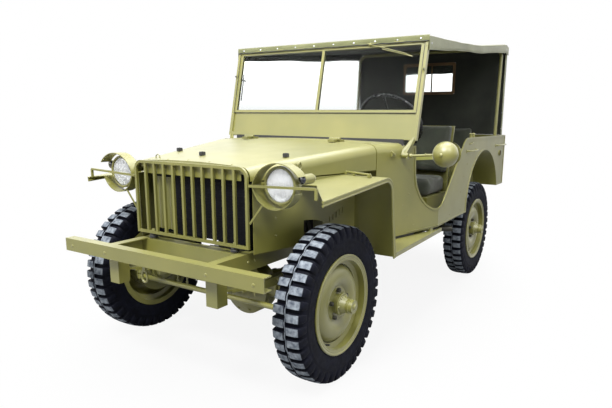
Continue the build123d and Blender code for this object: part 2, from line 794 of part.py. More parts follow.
# ---- front fenders: one bent sheet with a rolled edge, and the apron beside the engine ----
wall_foot = 489
fender_tip_z = 863
fender_corner = 372
fender_corner_z = 910
fender_foot = 430
fender_bend = 85
fender_cut = 151
fender_cut_station = -70
fender_root = 200
edge_skirt = 20
edge_roll = 4
edge_bead = 4.5
bead_inset = 3
apron_front = -236
tyre_swing_gap = 12
swing_start = 40
swing_drop = 17
louvre_count = 5
louvre_start = 205
louvre_pitch = 21
louvre_start_z = 693
louvre_rise = 9
louvre_proud = 5
fender_line = [
    (behind_front(fender_tip), fender_tip_z),
    (behind_front(fender_corner), fender_corner_z),
    (behind_front(fender_foot), wall_foot),
]


def inset_line(points, inset):
    """Two straight runs and their corner, moved down and forward by the inset."""
    first, corner, last = [Vector(*point) for point in points]
    along = (corner - first).normalized()
    down = (last - corner).normalized()
    under = Vector(along.Y, -along.X)
    ahead = Vector(down.Y, -down.X)
    mitre = (under + ahead) * (inset / (1 + under.dot(ahead)))
    moved = [first + under * inset, corner + mitre, last + ahead * inset]
    return [(point.X, point.Y) for point in moved]


def fender_band(inset):
    """Closed face in the side plane between the fender's line and the same line inset."""
    inner = inset_line(fender_line, inset)
    with BuildSketch(Plane.YZ) as band:
        with BuildLine():
            FilletPolyline(*fender_line, radius=fender_bend)
            Line(fender_line[2], inner[2])
            FilletPolyline(*inner, radius=fender_bend - inset)
            Line(inner[0], fender_line[0])
        make_face()
    return band.sketch


apron_taper = (body_half - grille_half) / (flare_end - grille_front)
with BuildPart() as front_fenders:
    extrude(fender_band(sheet), amount=fender_half)
    with BuildSketch(Plane.XY.offset(wall_foot - 1)):
        with BuildLine():
            Polyline(
                (fender_half, behind_front(fender_tip)),
                (fender_half, behind_front(fender_foot)),
                (side_x(fender_foot) - sheet / 2, behind_front(fender_foot)),
                (side_x(0) - sheet / 2, behind_front(0)),
                (fender_half - fender_root, behind_front(0)),
                (fender_half - fender_cut, behind_front(fender_cut_station)),
                close=True,
            )
        make_face()
    extrude(amount=fender_corner_z - wall_foot + 2, mode=Mode.INTERSECT)
    # skirt with a bead along its top and its lower edge
    extrude(fender_band(edge_skirt).moved(Location((fender_half, 0, 0))), amount=-sheet)
    for inset in (edge_roll, edge_skirt):
        with BuildLine(Plane.YZ.offset(fender_half - bead_inset)) as edge:
            FilletPolyline(*inset_line(fender_line, inset), radius=fender_bend - inset)
        with BuildSketch(Plane(origin=edge.line @ 0, z_dir=edge.line % 0)):
            Circle(edge_bead)
        sweep()
    # apron, scalloped where the steered tyre swings in
    with BuildPart(mode=Mode.PRIVATE) as apron:
        with BuildSketch(Plane.XY.offset(rail_top)):
            with BuildLine():
                Polyline(
                    (side_x(apron_front) - sheet, behind_front(apron_front)),
                    (side_x(fender_corner) - sheet, behind_front(fender_corner)),
                    (side_x(fender_corner), behind_front(fender_corner)),
                    (side_x(apron_front), behind_front(apron_front)),
                    close=True,
                )
            make_face()
        extrude(amount=fender_top - rail_top)
        with BuildSketch(Plane.YZ):
            with Locations((behind_front(swing_start), tyre_radius - swing_drop)):
                Circle(tyre_radius + tyre_swing_gap)
            with Locations((behind_front(swing_start + fender_corner / 2), tyre_radius)):
                Rectangle(fender_corner, 4 * tyre_radius, mode=Mode.INTERSECT)
        extrude(amount=fender_half, mode=Mode.SUBTRACT)
        for louvre in range(louvre_count):
            station = louvre_start + louvre * louvre_pitch
            with BuildSketch(Plane(
                origin=(side_x(station) - 1, behind_front(station), louvre_start_z + louvre * louvre_rise),
                x_dir=(apron_taper, 1, 0),
                z_dir=(1, -apron_taper, 0),
            )):
                RectangleRounded(7, 32, 3)
            extrude(amount=louvre_proud)
    add(apron.part)
    mirror(about=Plane.YZ)
front_fenders.part.label = "front_fenders"
export_step(front_fenders.part, "parts/front_fenders.step")

# ---- headlamps: bowls, brackets, guards; marker lamps ----
glass_radius = 70
bracket_station = -190
marker_x = 597
marker_z = 932
marker_radius = 21
marker_length = 60
guard_front = lamp_front - 38
guard_depth = 57
guard_thickness = 3
guard_left = (377, 900)
# the ends and the middle of the bands over and under the lamp
guard_over = [guard_left, (474, 992), (610, 946)]
guard_under = [guard_left, (490, 805), (590, 875)]
guard_rod = 5
guard_rod_ends = [(grille_half + 4, 894), (693, 906)]
brace_ends = [(430, 822), (grille_half + 4, 732)]
with BuildPart() as front_lamps:
    with BuildSketch(Plane.XY.offset(lamp_z)):
        with BuildLine():
            Polyline(
                (lamp_x, behind_front(lamp_front)),
                (lamp_x + lamp_radius, behind_front(lamp_front)),
                (lamp_x + lamp_radius, behind_front(lamp_front + 22)),
                (lamp_x + 70, behind_front(lamp_front + 50)),
                (lamp_x + 44, behind_front(lamp_front + 90)),
                (lamp_x, behind_front(lamp_front + 108)),
                close=True,
            )
        make_face()
    revolve(axis=Axis((lamp_x, front_axle_y, lamp_z), (0, 1, 0)), revolution_arc=360)
    with BuildSketch(slice_at(lamp_front - 1)):
        with Locations((lamp_x, lamp_z)):
            Circle(glass_radius)
    extrude(amount=-12, mode=Mode.SUBTRACT)
    # bracket from the apron to the bowl
    with BuildSketch(Plane.XY.offset(lamp_z - 40)):
        with BuildLine():
            Polyline(
                (side_x(bracket_station), behind_front(bracket_station)),
                (lamp_x - 50, behind_front(bracket_station)),
                (lamp_x - 50, behind_front(bracket_station + 24)),
                (side_x(bracket_station + 24), behind_front(bracket_station + 24)),
                close=True,
            )
        make_face()
    extrude(amount=40)
    # marker lamp beside the headlamp, with a rounded back
    marker_back = lamp_front + 14 + marker_length
    with BuildSketch(Plane.XY.offset(marker_z)):
        with BuildLine():
            Polyline(
                (marker_x, behind_front(marker_back + 20)),
                (marker_x, behind_front(lamp_front + 14)),
                (marker_x + marker_radius, behind_front(lamp_front + 14)),
                (marker_x + marker_radius, behind_front(marker_back)),
                (marker_x + marker_radius - 6, behind_front(marker_back + 14)),
                close=True,
            )
        make_face()
    revolve(axis=Axis((marker_x, front_axle_y, marker_z), (0, 1, 0)), revolution_arc=360)
    with BuildSketch(slice_at(lamp_front + 20)):
        with Locations(((lamp_x + marker_x) / 2 + 20, marker_z - 14)):
            Rectangle(marker_x - lamp_x - 20, 12)
    extrude(amount=-6)
    # guard bands, and the brace to the grille
    with BuildSketch(slice_at(guard_front)):
        for band in (guard_over, guard_under):
            with BuildLine():
                ThreePointArc(*band)
            trace(line_width=guard_thickness)
    extrude(amount=-guard_depth)
    with BuildSketch(slice_at(guard_front + 4)):
        with BuildLine():
            Line(*brace_ends)
        trace(line_width=8)
    extrude(amount=-4)
    # rod across the lamp, with a post on the fender's tip
    with BuildSketch(slice_at(guard_front - 1)):
        with BuildLine():
            Line(*guard_rod_ends)
        trace(line_width=2 * guard_rod)
        with BuildLine():
            Line(guard_rod_ends[1], (guard_rod_ends[1][0], fender_tip_z + seat_gap))
        trace(line_width=2 * guard_rod)
    extrude(amount=-2 * guard_rod)
    mirror(about=Plane.YZ)
front_lamps.part.label = "front_lamps"
export_step(front_lamps.part, "parts/front_lamps.step")

with BuildPart() as lamp_lenses:
    with BuildSketch(slice_at(lamp_front - 4)):
        with Locations((lamp_x, lamp_z), (-lamp_x, lamp_z)):
            Circle(glass_radius - seat_gap)
    extrude(amount=-12)
lamp_lenses.part.label = "lamp_lenses"
export_step(lamp_lenses.part, "parts/lamp_lenses.step")

# ---- tub sides: straight taper, door cut-out, rear wheel arch ----
door_front = 851
door_front_top = 1030
door_low = 654
door_lean = 8
door_bend_z = 880
door_bend_station = 922
door_bend_mid_z = 730
door_low_station = 1040
door_low_middle = 1110
door_rise_station = 1172
door_rise_z = 678
door_rise_end = 1520
door_rise_end_z = 1010
rail_bend_station = 1562
rail_bend_z = 1044
rail_start = 1620
edge_width = 12
edge_proud = 4
arch_front_z = 541
rear_skirt_z = 652


def on_arch(z, side, radius):
    """Station where the wheel arch of this radius is at height z, ahead (-1) or behind (1)."""
    return arch_y + side * (radius**2 - (z - arch_z) ** 2) ** 0.5


def side_point(distance, z):
    return (behind_front(distance), z)


with BuildSketch(Plane.YZ) as side_profile:
    with BuildLine():
        Polyline(
            side_point(cowl_rear, sill_bottom),
            side_point(cowl_rear, door_front_top),
            side_point(door_front, door_front_top),
            side_point(door_front + door_lean, door_bend_z),
        )
        ThreePointArc(
            side_point(door_front + door_lean, door_bend_z),
            side_point(door_bend_station, door_bend_mid_z),
            side_point(door_low_station, door_low),
        )
        ThreePointArc(
            side_point(door_low_station, door_low),
            side_point(door_low_middle, door_low - 2),
            side_point(door_rise_station, door_rise_z),
        )
        Line(side_point(door_rise_station, door_rise_z), side_point(door_rise_end, door_rise_end_z))
        ThreePointArc(
            side_point(door_rise_end, door_rise_end_z),
            side_point(rail_bend_station, rail_bend_z),
            side_point(rail_start, body_top),
        )
        Polyline(
            side_point(rail_start, body_top),
            side_point(body_rear, body_top),
            side_point(body_rear, rear_skirt_z),
            side_point(on_arch(rear_skirt_z, 1, arch_radius), rear_skirt_z),
        )
        ThreePointArc(
            side_point(on_arch(rear_skirt_z, 1, arch_radius), rear_skirt_z),
            side_point(arch_y, arch_z + arch_radius),
            side_point(on_arch(arch_front_z, -1, arch_radius), arch_front_z),
        )
        Polyline(
            side_point(on_arch(arch_front_z, -1, arch_radius), arch_front_z),
            side_point(flare_end, sill_bottom),
            side_point(cowl_rear, sill_bottom),
        )
    make_face()

# rolled edge: the rim of the profile, but not along the cowl or the sill
with BuildSketch(Plane.YZ) as side_rim:
    add(side_profile.sketch_local)
    offset(side_profile.sketch_local, amount=-edge_width, mode=Mode.SUBTRACT)
    with BuildLine():
        Polyline(
            side_point(cowl_rear - 1, sill_bottom - 1),
            side_point(cowl_rear - 1, door_front_top + 1),
            side_point(cowl_rear + edge_width + 1, door_front_top + 1),
            side_point(cowl_rear + edge_width + 1, arch_front_z),
            side_point(body_rear, arch_front_z),
            side_point(body_rear, sill_bottom - 1),
            close=True,
        )
    make_face(mode=Mode.SUBTRACT)


def side_sheet(end, inner, outer):
    """Upright sheet along the flare and the straight side, between two offsets outward."""
    with BuildPart() as upright:
        with BuildSketch(Plane.XY.offset(sill_bottom)):
            with BuildLine():
                Polyline(
                    (end * (side_x(cowl_rear) + outer), behind_front(cowl_rear)),
                    (end * (body_half + outer), behind_front(flare_end)),
                    (end * (body_half + outer), behind_front(body_rear)),
                    (end * (body_half + inner), behind_front(body_rear)),
                    (end * (body_half + inner), behind_front(flare_end)),
                    (end * (side_x(cowl_rear) + inner), behind_front(cowl_rear)),
                    close=True,
                )
            make_face()
        extrude(amount=body_top - sill_bottom)
    return upright.part


for name, end in (("left", 1), ("right", -1)):
    with BuildPart() as tub_side:
        for profile, inner, outer in ((side_profile, -sheet, 0), (side_rim, -sheet, edge_proud)):
            with BuildPart(mode=Mode.PRIVATE) as layer:
                add(side_sheet(end, inner, outer))
                extrude(profile.sketch, amount=end * 2 * body_half, mode=Mode.INTERSECT)
            add(layer.part)
    tub_side.part.label = f"tub_side_{name}"
    export_step(tub_side.part, f"parts/tub_side_{name}.step")

# ---- rear panel ----
inner_half = body_half - sheet
with BuildPart() as rear_panel:
    with BuildSketch(slice_at(body_rear)):
        with Locations((0, (body_top + rear_skirt_z) / 2)):
            Rectangle(2 * inner_half, body_top - rear_skirt_z)
    extrude(amount=sheet)
rear_panel.part.label = "rear_panel"
export_step(rear_panel.part, "parts/rear_panel.step")

# ---- rear wheel housings: an arch sheet and an inner wall ----
with BuildPart() as wheel_housings:
    with BuildSketch(Plane.YZ.offset(housing_inner_x)):
        with Locations((behind_front(arch_y), arch_z)):
            Circle(arch_radius + sheet)
            Circle(arch_radius, mode=Mode.SUBTRACT)
        with Locations((behind_front(arch_y), arch_z - arch_radius + (arch_front_z - arch_z))):
            Rectangle(3 * arch_radius, 2 * arch_radius, mode=Mode.SUBTRACT)
        with Locations((behind_front(arch_y + arch_radius), rear_skirt_z - arch_radius / 2)):
            Rectangle(arch_radius, arch_radius, mode=Mode.SUBTRACT)
    extrude(amount=inner_half - housing_inner_x)
    with BuildSketch(Plane.YZ.offset(housing_inner_x)):
        with Locations((behind_front(arch_y), arch_z)):
            Circle(arch_radius + sheet)
        with Locations((behind_front(arch_y), arch_z - arch_radius + (arch_front_z - arch_z))):
            Rectangle(3 * arch_radius, 2 * arch_radius, mode=Mode.SUBTRACT)
    extrude(amount=-sheet)
    mirror(about=Plane.YZ)
wheel_housings.part.label = "wheel_housings"
export_step(wheel_housings.part, "parts/wheel_housings.step")

# ---- floor: front pan on the rails, riser, rear pan between the housings, gearbox cover ----
tunnel_half = 165
tunnel_top = 690
tunnel_rear = 1110
pan_front = firewall + sheet
pan_split_front = on_arch(rear_floor_top - sheet, -1, arch_radius + sheet)
pan_split_rear = on_arch(rear_floor_top - sheet, 1, arch_radius + sheet)
housing_wall = housing_inner_x - sheet
with BuildPart() as tub_floor:
    with BuildSketch(Plane.XY.offset(rail_top)):
        with BuildLine():
            Polyline(
                (side_x(pan_front) - sheet, behind_front(pan_front)),
                (inner_half, behind_front(flare_end)),
                (inner_half, behind_front(riser_station)),
                (-inner_half, behind_front(riser_station)),
                (-inner_half, behind_front(flare_end)),
                (-side_x(pan_front) + sheet, behind_front(pan_front)),
                close=True,
            )
        make_face()
        with Locations((0, behind_front((pan_front + tunnel_rear) / 2))):
            Rectangle(2 * tunnel_half, tunnel_rear - pan_front, mode=Mode.SUBTRACT)
    extrude(amount=sheet)
    with BuildSketch(slice_at(riser_station)):
        with Locations((0, (rail_top + rear_floor_top) / 2)):
            Rectangle(2 * inner_half, rear_floor_top - rail_top)
    extrude(amount=sheet)
    with BuildSketch(Plane.XY.offset(rear_floor_top)):
        with BuildLine():
            Polyline(
                (inner_half, behind_front(riser_station)),
                (inner_half, behind_front(pan_split_front)),
                (housing_wall, behind_front(pan_split_front)),
                (housing_wall, behind_front(pan_split_rear)),
                (inner_half, behind_front(pan_split_rear)),
                (inner_half, behind_front(body_rear - sheet)),
                (0, behind_front(body_rear - sheet)),
                (0, behind_front(riser_station)),
                close=True,
            )
        make_face()
        mirror(about=Plane.YZ)
    extrude(amount=-sheet)
    with BuildSketch(slice_at(pan_front)):
        with Locations((0, (rail_top + tunnel_top) / 2)):
            Rectangle(2 * tunnel_half, tunnel_top - rail_top)
        with Locations((0, (rail_top + tunnel_top) / 2 - sheet)):
            Rectangle(2 * (tunnel_half - sheet), tunnel_top - rail_top, mode=Mode.SUBTRACT)
    extrude(amount=-(tunnel_rear - pan_front))
    with BuildSketch(slice_at(tunnel_rear)):
        with Locations((0, (rail_top + tunnel_top) / 2)):
            Rectangle(2 * tunnel_half, tunnel_top - rail_top)
    extrude(amount=sheet)
tub_floor.part.label = "tub_floor"
export_step(tub_floor.part, "parts/tub_floor.step")

# ---- running boards: tapered steps from the fender's rear wall to the body side ----
board_top = 513
board_skirt = wall_foot
board_end = 1163
board_start = fender_foot + seat_gap
with BuildPart() as running_boards:
    with BuildSketch(Plane.XY.offset(board_top)):
        with BuildLine():
            Polyline(
                (fender_half, behind_front(board_start)),
                (body_half + 4, behind_front(board_end)),
                (body_half - 3 * sheet, behind_front(board_end)),
                (body_half - 3 * sheet, behind_front(flare_end)),
                (side_x(board_start) - 3 * sheet, behind_front(board_start)),
                close=True,
            )
        make_face()
    extrude(amount=-sheet)
    with BuildSketch(Plane.XY.offset(board_top)):
        with BuildLine():
            Polyline(
                (fender_half, behind_front(board_start)),
                (body_half + 4, behind_front(board_end)),
                (body_half + 4 - sheet, behind_front(board_end)),
                (fender_half - sheet, behind_front(board_start)),
                close=True,
            )
        make_face()
    extrude(amount=board_skirt - board_top)
    # brackets up to the body's sill and in to the frame rail
    for bracket in (620, 1040):
        with BuildSketch(Plane.XY.offset(board_top - sheet)):
            with Locations(((rail_outer_x + side_x(bracket)) / 2, behind_front(bracket))):
                Rectangle(side_x(bracket) - rail_outer_x, 40)
        extrude(amount=sill_bottom - board_top + sheet)
    mirror(about=Plane.YZ)
running_boards.part.label = "running_boards"
export_step(running_boards.part, "parts/running_boards.step")

# ---- windshield: outer frame, lower panel, inner frame with a centre bar, pivots ----
shield_plane = Plane(
    origin=(0, behind_front(shield_foot), shield_foot_z),
    x_dir=(1, 0, 0),
    z_dir=(0, -cos(radians(shield_lean)), sin(radians(shield_lean))),
)
opening_top = shield_height - shield_bar
opening_half = shield_half - shield_bar
pane_top = opening_top - pane_bar
pane_low = pane_bottom + pane_bar
pane_half = opening_half - pane_bar
pivot_station = 735
pivot_z = 980
pivot_length = 34
with BuildPart() as windshield_frame:
    with BuildSketch(shield_plane):
        with Locations((0, shield_height / 2)):
            Rectangle(2 * shield_half, shield_height)
        with Locations((0, opening_top / 2 + shield_bar / 2)):
            Rectangle(2 * opening_half, opening_top - shield_bar, mode=Mode.SUBTRACT)
    extrude(amount=-shield_thickness)
    # lower panel
    with BuildSketch(shield_plane.offset(-shield_thickness / 2)):
        with Locations((0, (shield_bar + pane_bottom) / 2)):
            Rectangle(2 * opening_half, pane_bottom - shield_bar)
    extrude(amount=sheet)
    # inner frame
    with BuildSketch(shield_plane.offset(-4)):
        with Locations((0, (pane_bottom + opening_top) / 2)):
            Rectangle(2 * opening_half, opening_top - pane_bottom)
        with Locations((-(pane_half + pane_bar / 2) / 2, (pane_low + pane_top) / 2)):
            Rectangle(pane_half - pane_bar / 2, pane_top - pane_low, mode=Mode.SUBTRACT)
        with Locations(((pane_half + pane_bar / 2) / 2, (pane_low + pane_top) / 2)):
            Rectangle(pane_half - pane_bar / 2, pane_top - pane_low, mode=Mode.SUBTRACT)
    extrude(amount=-shield_thickness + 8)
    # legs down to the pivots on the cowl's sides
    for end in (-1, 1):
        foot = Vector(end * (side_x(pivot_station) + 20), behind_front(pivot_station), pivot_z)
        head = Vector(end * (shield_half - 14), behind_front(shield_foot + 14), shield_foot_z + 12)
        with BuildSketch(Plane(origin=foot, x_dir=(1, 0, 0), z_dir=head - foot)):
            Rectangle(12, 26)
        extrude(amount=(head - foot).length)
        with BuildSketch(Plane.YZ.offset(end * (side_x(pivot_station + 16) + seat_gap))):
            with Locations((behind_front(pivot_station), pivot_z)):
                Circle(16)
        extrude(amount=end * pivot_length)
windshield_frame.part.label = "windshield_frame"
export_step(windshield_frame.part, "parts/windshield_frame.step")

# ---- rear curtain's window ----
curtain_window_half = 240
curtain_window_low = 1400
curtain_window_high = 1665
window_border = 22

# ---- glass: two windshield panes and the curtain's pane ----
with BuildPart() as window_glass:
    with BuildSketch(shield_plane.offset(-shield_thickness / 2 + pane_thickness / 2)):
        for end in (-1, 1):
            with Locations((end * (pane_half + pane_bar / 2) / 2, (pane_low + pane_top) / 2)):
                Rectangle(pane_half - pane_bar / 2, pane_top - pane_low)
    extrude(amount=-pane_thickness)
    with BuildSketch(slice_at(roof_rear - canvas)):
        with Locations((0, (curtain_window_low + curtain_window_high) / 2)):
            Rectangle(
                2 * (curtain_window_half - window_border),
                curtain_window_high - curtain_window_low - 2 * window_border,
            )
    extrude(amount=-3)
window_glass.part.label = "window_glass"
export_step(window_glass.part, "parts/window_glass.step")

# ---- canvas roof: one sheet with a sag, side valances, front hem on the windshield ----
roof_front = shield_foot + shield_height * sin(radians(shield_lean)) - 6
roof_front_z = shield_foot_z + shield_height * cos(radians(shield_lean)) + canvas + seat_gap
roof_half = shield_half + canvas + 0.5
roof_sag_station = 1600
roof_sag_z = 1668
valance = 64
roof_shoulder = 2560


def roof_edge(drop):
    return [
        side_point(roof_front, roof_front_z - drop),
        side_point(roof_sag_station, roof_sag_z - drop),
        side_point(roof_shoulder, roof_rear_z - drop),
        side_point(roof_rear, roof_rear_z - 14 - drop),
    ]


def roof_profile(high, low):
    """Face in the side plane between the roof line dropped by high and by low."""
    top = roof_edge(high)
    under = roof_edge(low)
    with BuildSketch(Plane.YZ) as profile:
        with BuildLine():
            ThreePointArc(top[0], top[1], top[2])
            Polyline(top[2], top[3], under[3], under[2])
            ThreePointArc(under[2], under[1], under[0])
            Line(under[0], top[0])
        make_face()
    return profile.sketch


with BuildPart() as canvas_roof:
    extrude(roof_profile(0, canvas), amount=roof_half, both=True)
    for end in (-1, 1):
        strip = roof_profile(0, valance).moved(Location((end * roof_half, 0, 0)))
        extrude(strip, amount=-end * canvas)
canvas_roof.part.label = "canvas_roof"
export_step(canvas_roof.part, "parts/canvas_roof.step")

# ---- rear curtain, from the roof to the tub's rear edge, wrapped round both corners ----
curtain_top = roof_rear_z - 14 - canvas
wrap_top = 120
wrap_foot = 90
with BuildPart() as rear_curtain:
    with BuildSketch(slice_at(roof_rear)):
        with Locations((0, (body_top + curtain_top) / 2)):
            Rectangle(2 * (roof_half - canvas), curtain_top - body_top)
        with Locations((0, (curtain_window_low + curtain_window_high) / 2)):
            Rectangle(2 * curtain_window_half, curtain_window_high - curtain_window_low, mode=Mode.SUBTRACT)
    extrude(amount=canvas)
    for end in (-1, 1):
        with BuildSketch(Plane.YZ.offset(end * (roof_half - canvas))):
            with BuildLine():
                Polyline(
                    side_point(roof_rear, body_top),
                    side_point(roof_rear, curtain_top),
                    side_point(roof_rear - wrap_top, curtain_top),
                    side_point(roof_rear - wrap_foot, body_top),
                    close=True,
                )
            make_face()
        extrude(amount=-end * canvas)
rear_curtain.part.label = "rear_curtain"
export_step(rear_curtain.part, "parts/rear_curtain.step")

with BuildPart() as curtain_window:
    with BuildSketch(slice_at(roof_rear)):
        with Locations((0, (curtain_window_low + curtain_window_high) / 2)):
            Rectangle(2 * curtain_window_half, curtain_window_high - curtain_window_low)
            Rectangle(
                2 * (curtain_window_half - window_border),
                curtain_window_high - curtain_window_low - 2 * window_border,
                mode=Mode.SUBTRACT,
            )
    extrude(amount=canvas)
curtain_window.part.label = "curtain_window"
export_step(curtain_window.part, "parts/curtain_window.step")

# ---- top bow: one bent tube on two brackets ----
bow_radius = 13
bow_half = 650
bow_foot = 2504
bow_head = 2548
bow_top = roof_rear_z - 2 * bow_radius - canvas
bow_plane = Plane(
    origin=(0, behind_front(bow_foot), body_top - 60),
    x_dir=(1, 0, 0),
    z_dir=(0, -1, (bow_head - bow_foot) / (bow_top - body_top + 60)),
)
bow_rise = ((bow_top - body_top + 60) ** 2 + (bow_head - bow_foot) ** 2) ** 0.5
with BuildPart() as top_bow:
    with BuildLine(bow_plane) as bow_line:
        FilletPolyline((-bow_half, 0), (-bow_half, bow_rise), (bow_half, bow_rise), (bow_half, 0), radius=70)
    with BuildSketch(Plane(origin=bow_line.line @ 0, z_dir=bow_line.line % 0)):
        Circle(bow_radius)
    sweep()
    for end in (-1, 1):
        with BuildSketch(Plane.YZ.offset(end * inner_half)):
            with Locations((behind_front(bow_foot + 2), body_top - 45)):
                Rectangle(60, 60)
        extrude(amount=-end * (inner_half - bow_half))
top_bow.part.label = "top_bow"
export_step(top_bow.part, "parts/top_bow.step")

# ---- seats: bases (the driver's is the fuel tank), back frames, cushions ----
seat_outer = 605
seat_width = 400
seat_front = 1170
seat_rear = 1560
seat_base_top = 690
cushion_top = 805
back_top = 1155
back_lean = 90
bench_half = 490
bench_front = 2060
bench_rear = 2440
bench_base_top = 760
bench_top = 850
bench_back_top = 1130
seat_x = seat_outer - seat_width / 2
soft_gap = 0.4
with BuildPart() as seat_frames:
    for end in (-1, 1):
        with BuildSketch(Plane.XY.offset(floor_top)):
            with Locations((end * seat_x, behind_front((seat_front + seat_rear) / 2))):
                Rectangle(seat_width - 30, seat_rear - seat_front - 20)
        extrude(amount=seat_base_top - floor_top)
        # sheet behind each back cushion
        with BuildSketch(Plane.YZ.offset(end * seat_x - (seat_width - 30) / 2)):
            with BuildLine():
                Polyline(
                    side_point(seat_rear - 30, seat_base_top - 20),
                    side_point(seat_rear, seat_base_top - 20),
                    side_point(seat_rear + 12, cushion_top),
                    side_point(seat_rear + 12 + back_lean, back_top - 20),
                    side_point(seat_rear + back_lean, back_top - 20),
                    side_point(seat_rear, cushion_top),
                    side_point(seat_rear - 12, seat_base_top),
                    side_point(seat_rear - 30, seat_base_top),
                    close=True,
                )
            make_face()
        extrude(amount=seat_width - 30)
    with BuildSketch(Plane.XY.offset(rear_floor_top)):
        with Locations((0, behind_front((bench_front + bench_rear) / 2))):
            Rectangle(2 * bench_half, bench_rear - bench_front)
            Rectangle(2 * bench_half - 60, bench_rear - bench_front - 60, mode=Mode.SUBTRACT)
    extrude(amount=bench_base_top - rear_floor_top)
seat_frames.part.label = "seat_frames"
export_step(seat_frames.part, "parts/seat_frames.step")

with BuildPart() as seat_cushions:
    for end in (-1, 1):
        with BuildSketch(Plane.XY.offset(seat_base_top + soft_gap)):
            with Locations((end * seat_x, behind_front((seat_front + seat_rear) / 2 - 12))):
                RectangleRounded(seat_width, seat_rear - seat_front - 30, 40)
        extrude(amount=cushion_top - seat_base_top - soft_gap)
    with BuildSketch(Plane.XY.offset(bench_base_top + soft_gap)):
        with Locations((0, behind_front((bench_front + bench_rear) / 2))):
            RectangleRounded(2 * bench_half, bench_rear - bench_front, 40)
    extrude(amount=bench_top - bench_base_top - soft_gap)
seat_cushions.part.label = "seat_cushions"
export_step(seat_cushions.part, "parts/seat_cushions.step")

back_thickness = 70
with BuildPart() as seat_backs:
    for end in (-1, 1):
        with BuildSketch(Plane.YZ.offset(end * seat_x - seat_width / 2)):
            with BuildLine():
                Polyline(
                    side_point(seat_rear - soft_gap, cushion_top + soft_gap),
                    side_point(seat_rear + back_lean * 1.06 - soft_gap, back_top),
                    side_point(seat_rear + back_lean - back_thickness, back_top),
                    side_point(seat_rear - back_thickness, cushion_top + soft_gap),
                    close=True,
                )
            make_face()
        extrude(amount=seat_width)
    with BuildSketch(Plane.YZ.offset(-bench_half)):
        with BuildLine():
            Polyline(
                side_point(bench_rear - 60, bench_top + soft_gap),
                side_point(bench_rear + 10, bench_top + soft_gap),
                side_point(bench_rear + 40, bench_back_top),
                side_point(bench_rear - 30, bench_back_top),
                close=True,
            )
        make_face()
    extrude(amount=2 * bench_half)
seat_backs.part.label = "seat_backs"
export_step(seat_backs.part, "parts/seat_backs.step")

# ---- steering column, box, levers and pedals ----
steer_shaft = 10
boot_height = 14
with BuildPart() as driver_controls:
    with BuildSketch(Plane(origin=wheel_hub + column_dir * 30, x_dir=(1, 0, 0), z_dir=column_dir)):
        Circle(column_radius)
    extrude(amount=column_length)
    with BuildSketch(Plane(origin=wheel_hub + column_dir * (-20), x_dir=(1, 0, 0), z_dir=column_dir)):
        Circle(steer_shaft)
    extrude(amount=60)
    # steering box on the rail
    with BuildSketch(Plane.XY.offset(rail_top)):
        with Locations((wheel_x - 20, behind_front(400))):
            Rectangle(60, 110)
    extrude(amount=70)
    # gear lever, two transfer levers, handbrake: foot x, foot station, head x, head station, head height
    for foot_x, foot_s, head_x, head_s, head_z in [
        (0, 800, 30, 960, 1000), (70, 960, 90, 1040, 860), (110, 960, 130, 1040, 860), (-90, 700, -90, 860, 900),
    ]:
        with BuildSketch(Plane.XY.offset(tunnel_top)):
            with Locations((foot_x, behind_front(foot_s))):
                Circle(18)
        extrude(amount=boot_height)
        foot = Vector(foot_x, behind_front(foot_s), tunnel_top + boot_height - 6)
        head = Vector(head_x, behind_front(head_s), head_z)
        with BuildSketch(Plane(origin=foot, x_dir=(1, 0, 0), z_dir=head - foot)):
            Circle(7)
        extrude(amount=(head - foot).length)
        with Locations(head):
            Sphere(17)
    # pedals: arm and pad, clutch, brake, throttle
    for pedal_x in (400, 260, 205):
        with BuildSketch(Plane.YZ.offset(pedal_x - 5)):
            with BuildLine():
                Polyline(
                    side_point(640, floor_top), side_point(654, floor_top), side_point(744, 770),
                    side_point(734, 776), close=True,
                )
            make_face()
        extrude(amount=10)
        with BuildSketch(Plane(origin=(pedal_x, behind_front(738), 772), x_dir=(1, 0, 0), z_dir=(0, 0.83, 0.56))):
            RectangleRounded(56, 66, 8)
        extrude(amount=8)
driver_controls.part.label = "driver_controls"
export_step(driver_controls.part, "parts/driver_controls.step")

# ---- steering wheel: rim, three spokes and hub, on the column's shaft ----
rim_radius = 203
rim_tube = 11
with BuildPart() as steering_wheel:
    with BuildSketch(Plane(origin=wheel_hub, x_dir=(1, 0, 0), z_dir=column_dir)):
        Circle(30)
    extrude(amount=26)
    with BuildSketch(Plane(origin=wheel_hub, x_dir=(1, 0, 0), z_dir=column_dir)):
        Circle(30)
    extrude(amount=-28)
    for spoke in (90, 210, 330):
        reach = Vector(cos(radians(spoke)), 0, 0) + column_dir.cross(Vector(1, 0, 0)) * sin(radians(spoke))
        with BuildSketch(Plane(origin=wheel_hub, z_dir=reach)):
            Circle(7)
        extrude(amount=rim_radius)
    with BuildSketch(Plane(origin=wheel_hub + Vector(rim_radius, 0, 0), x_dir=(1, 0, 0), z_dir=(0, -column_dir.Z, column_dir.Y))):
        Circle(rim_tube)
    revolve(axis=Axis(wheel_hub, column_dir), revolution_arc=360)
    with BuildSketch(Plane(origin=wheel_hub + column_dir * (-21), x_dir=(1, 0, 0), z_dir=column_dir)):
        Circle(steer_shaft + shaft_gap)
    extrude(amount=60, mode=Mode.SUBTRACT)
steering_wheel.part.label = "steering_wheel"
export_step(steering_wheel.part, "parts/steering_wheel.step")

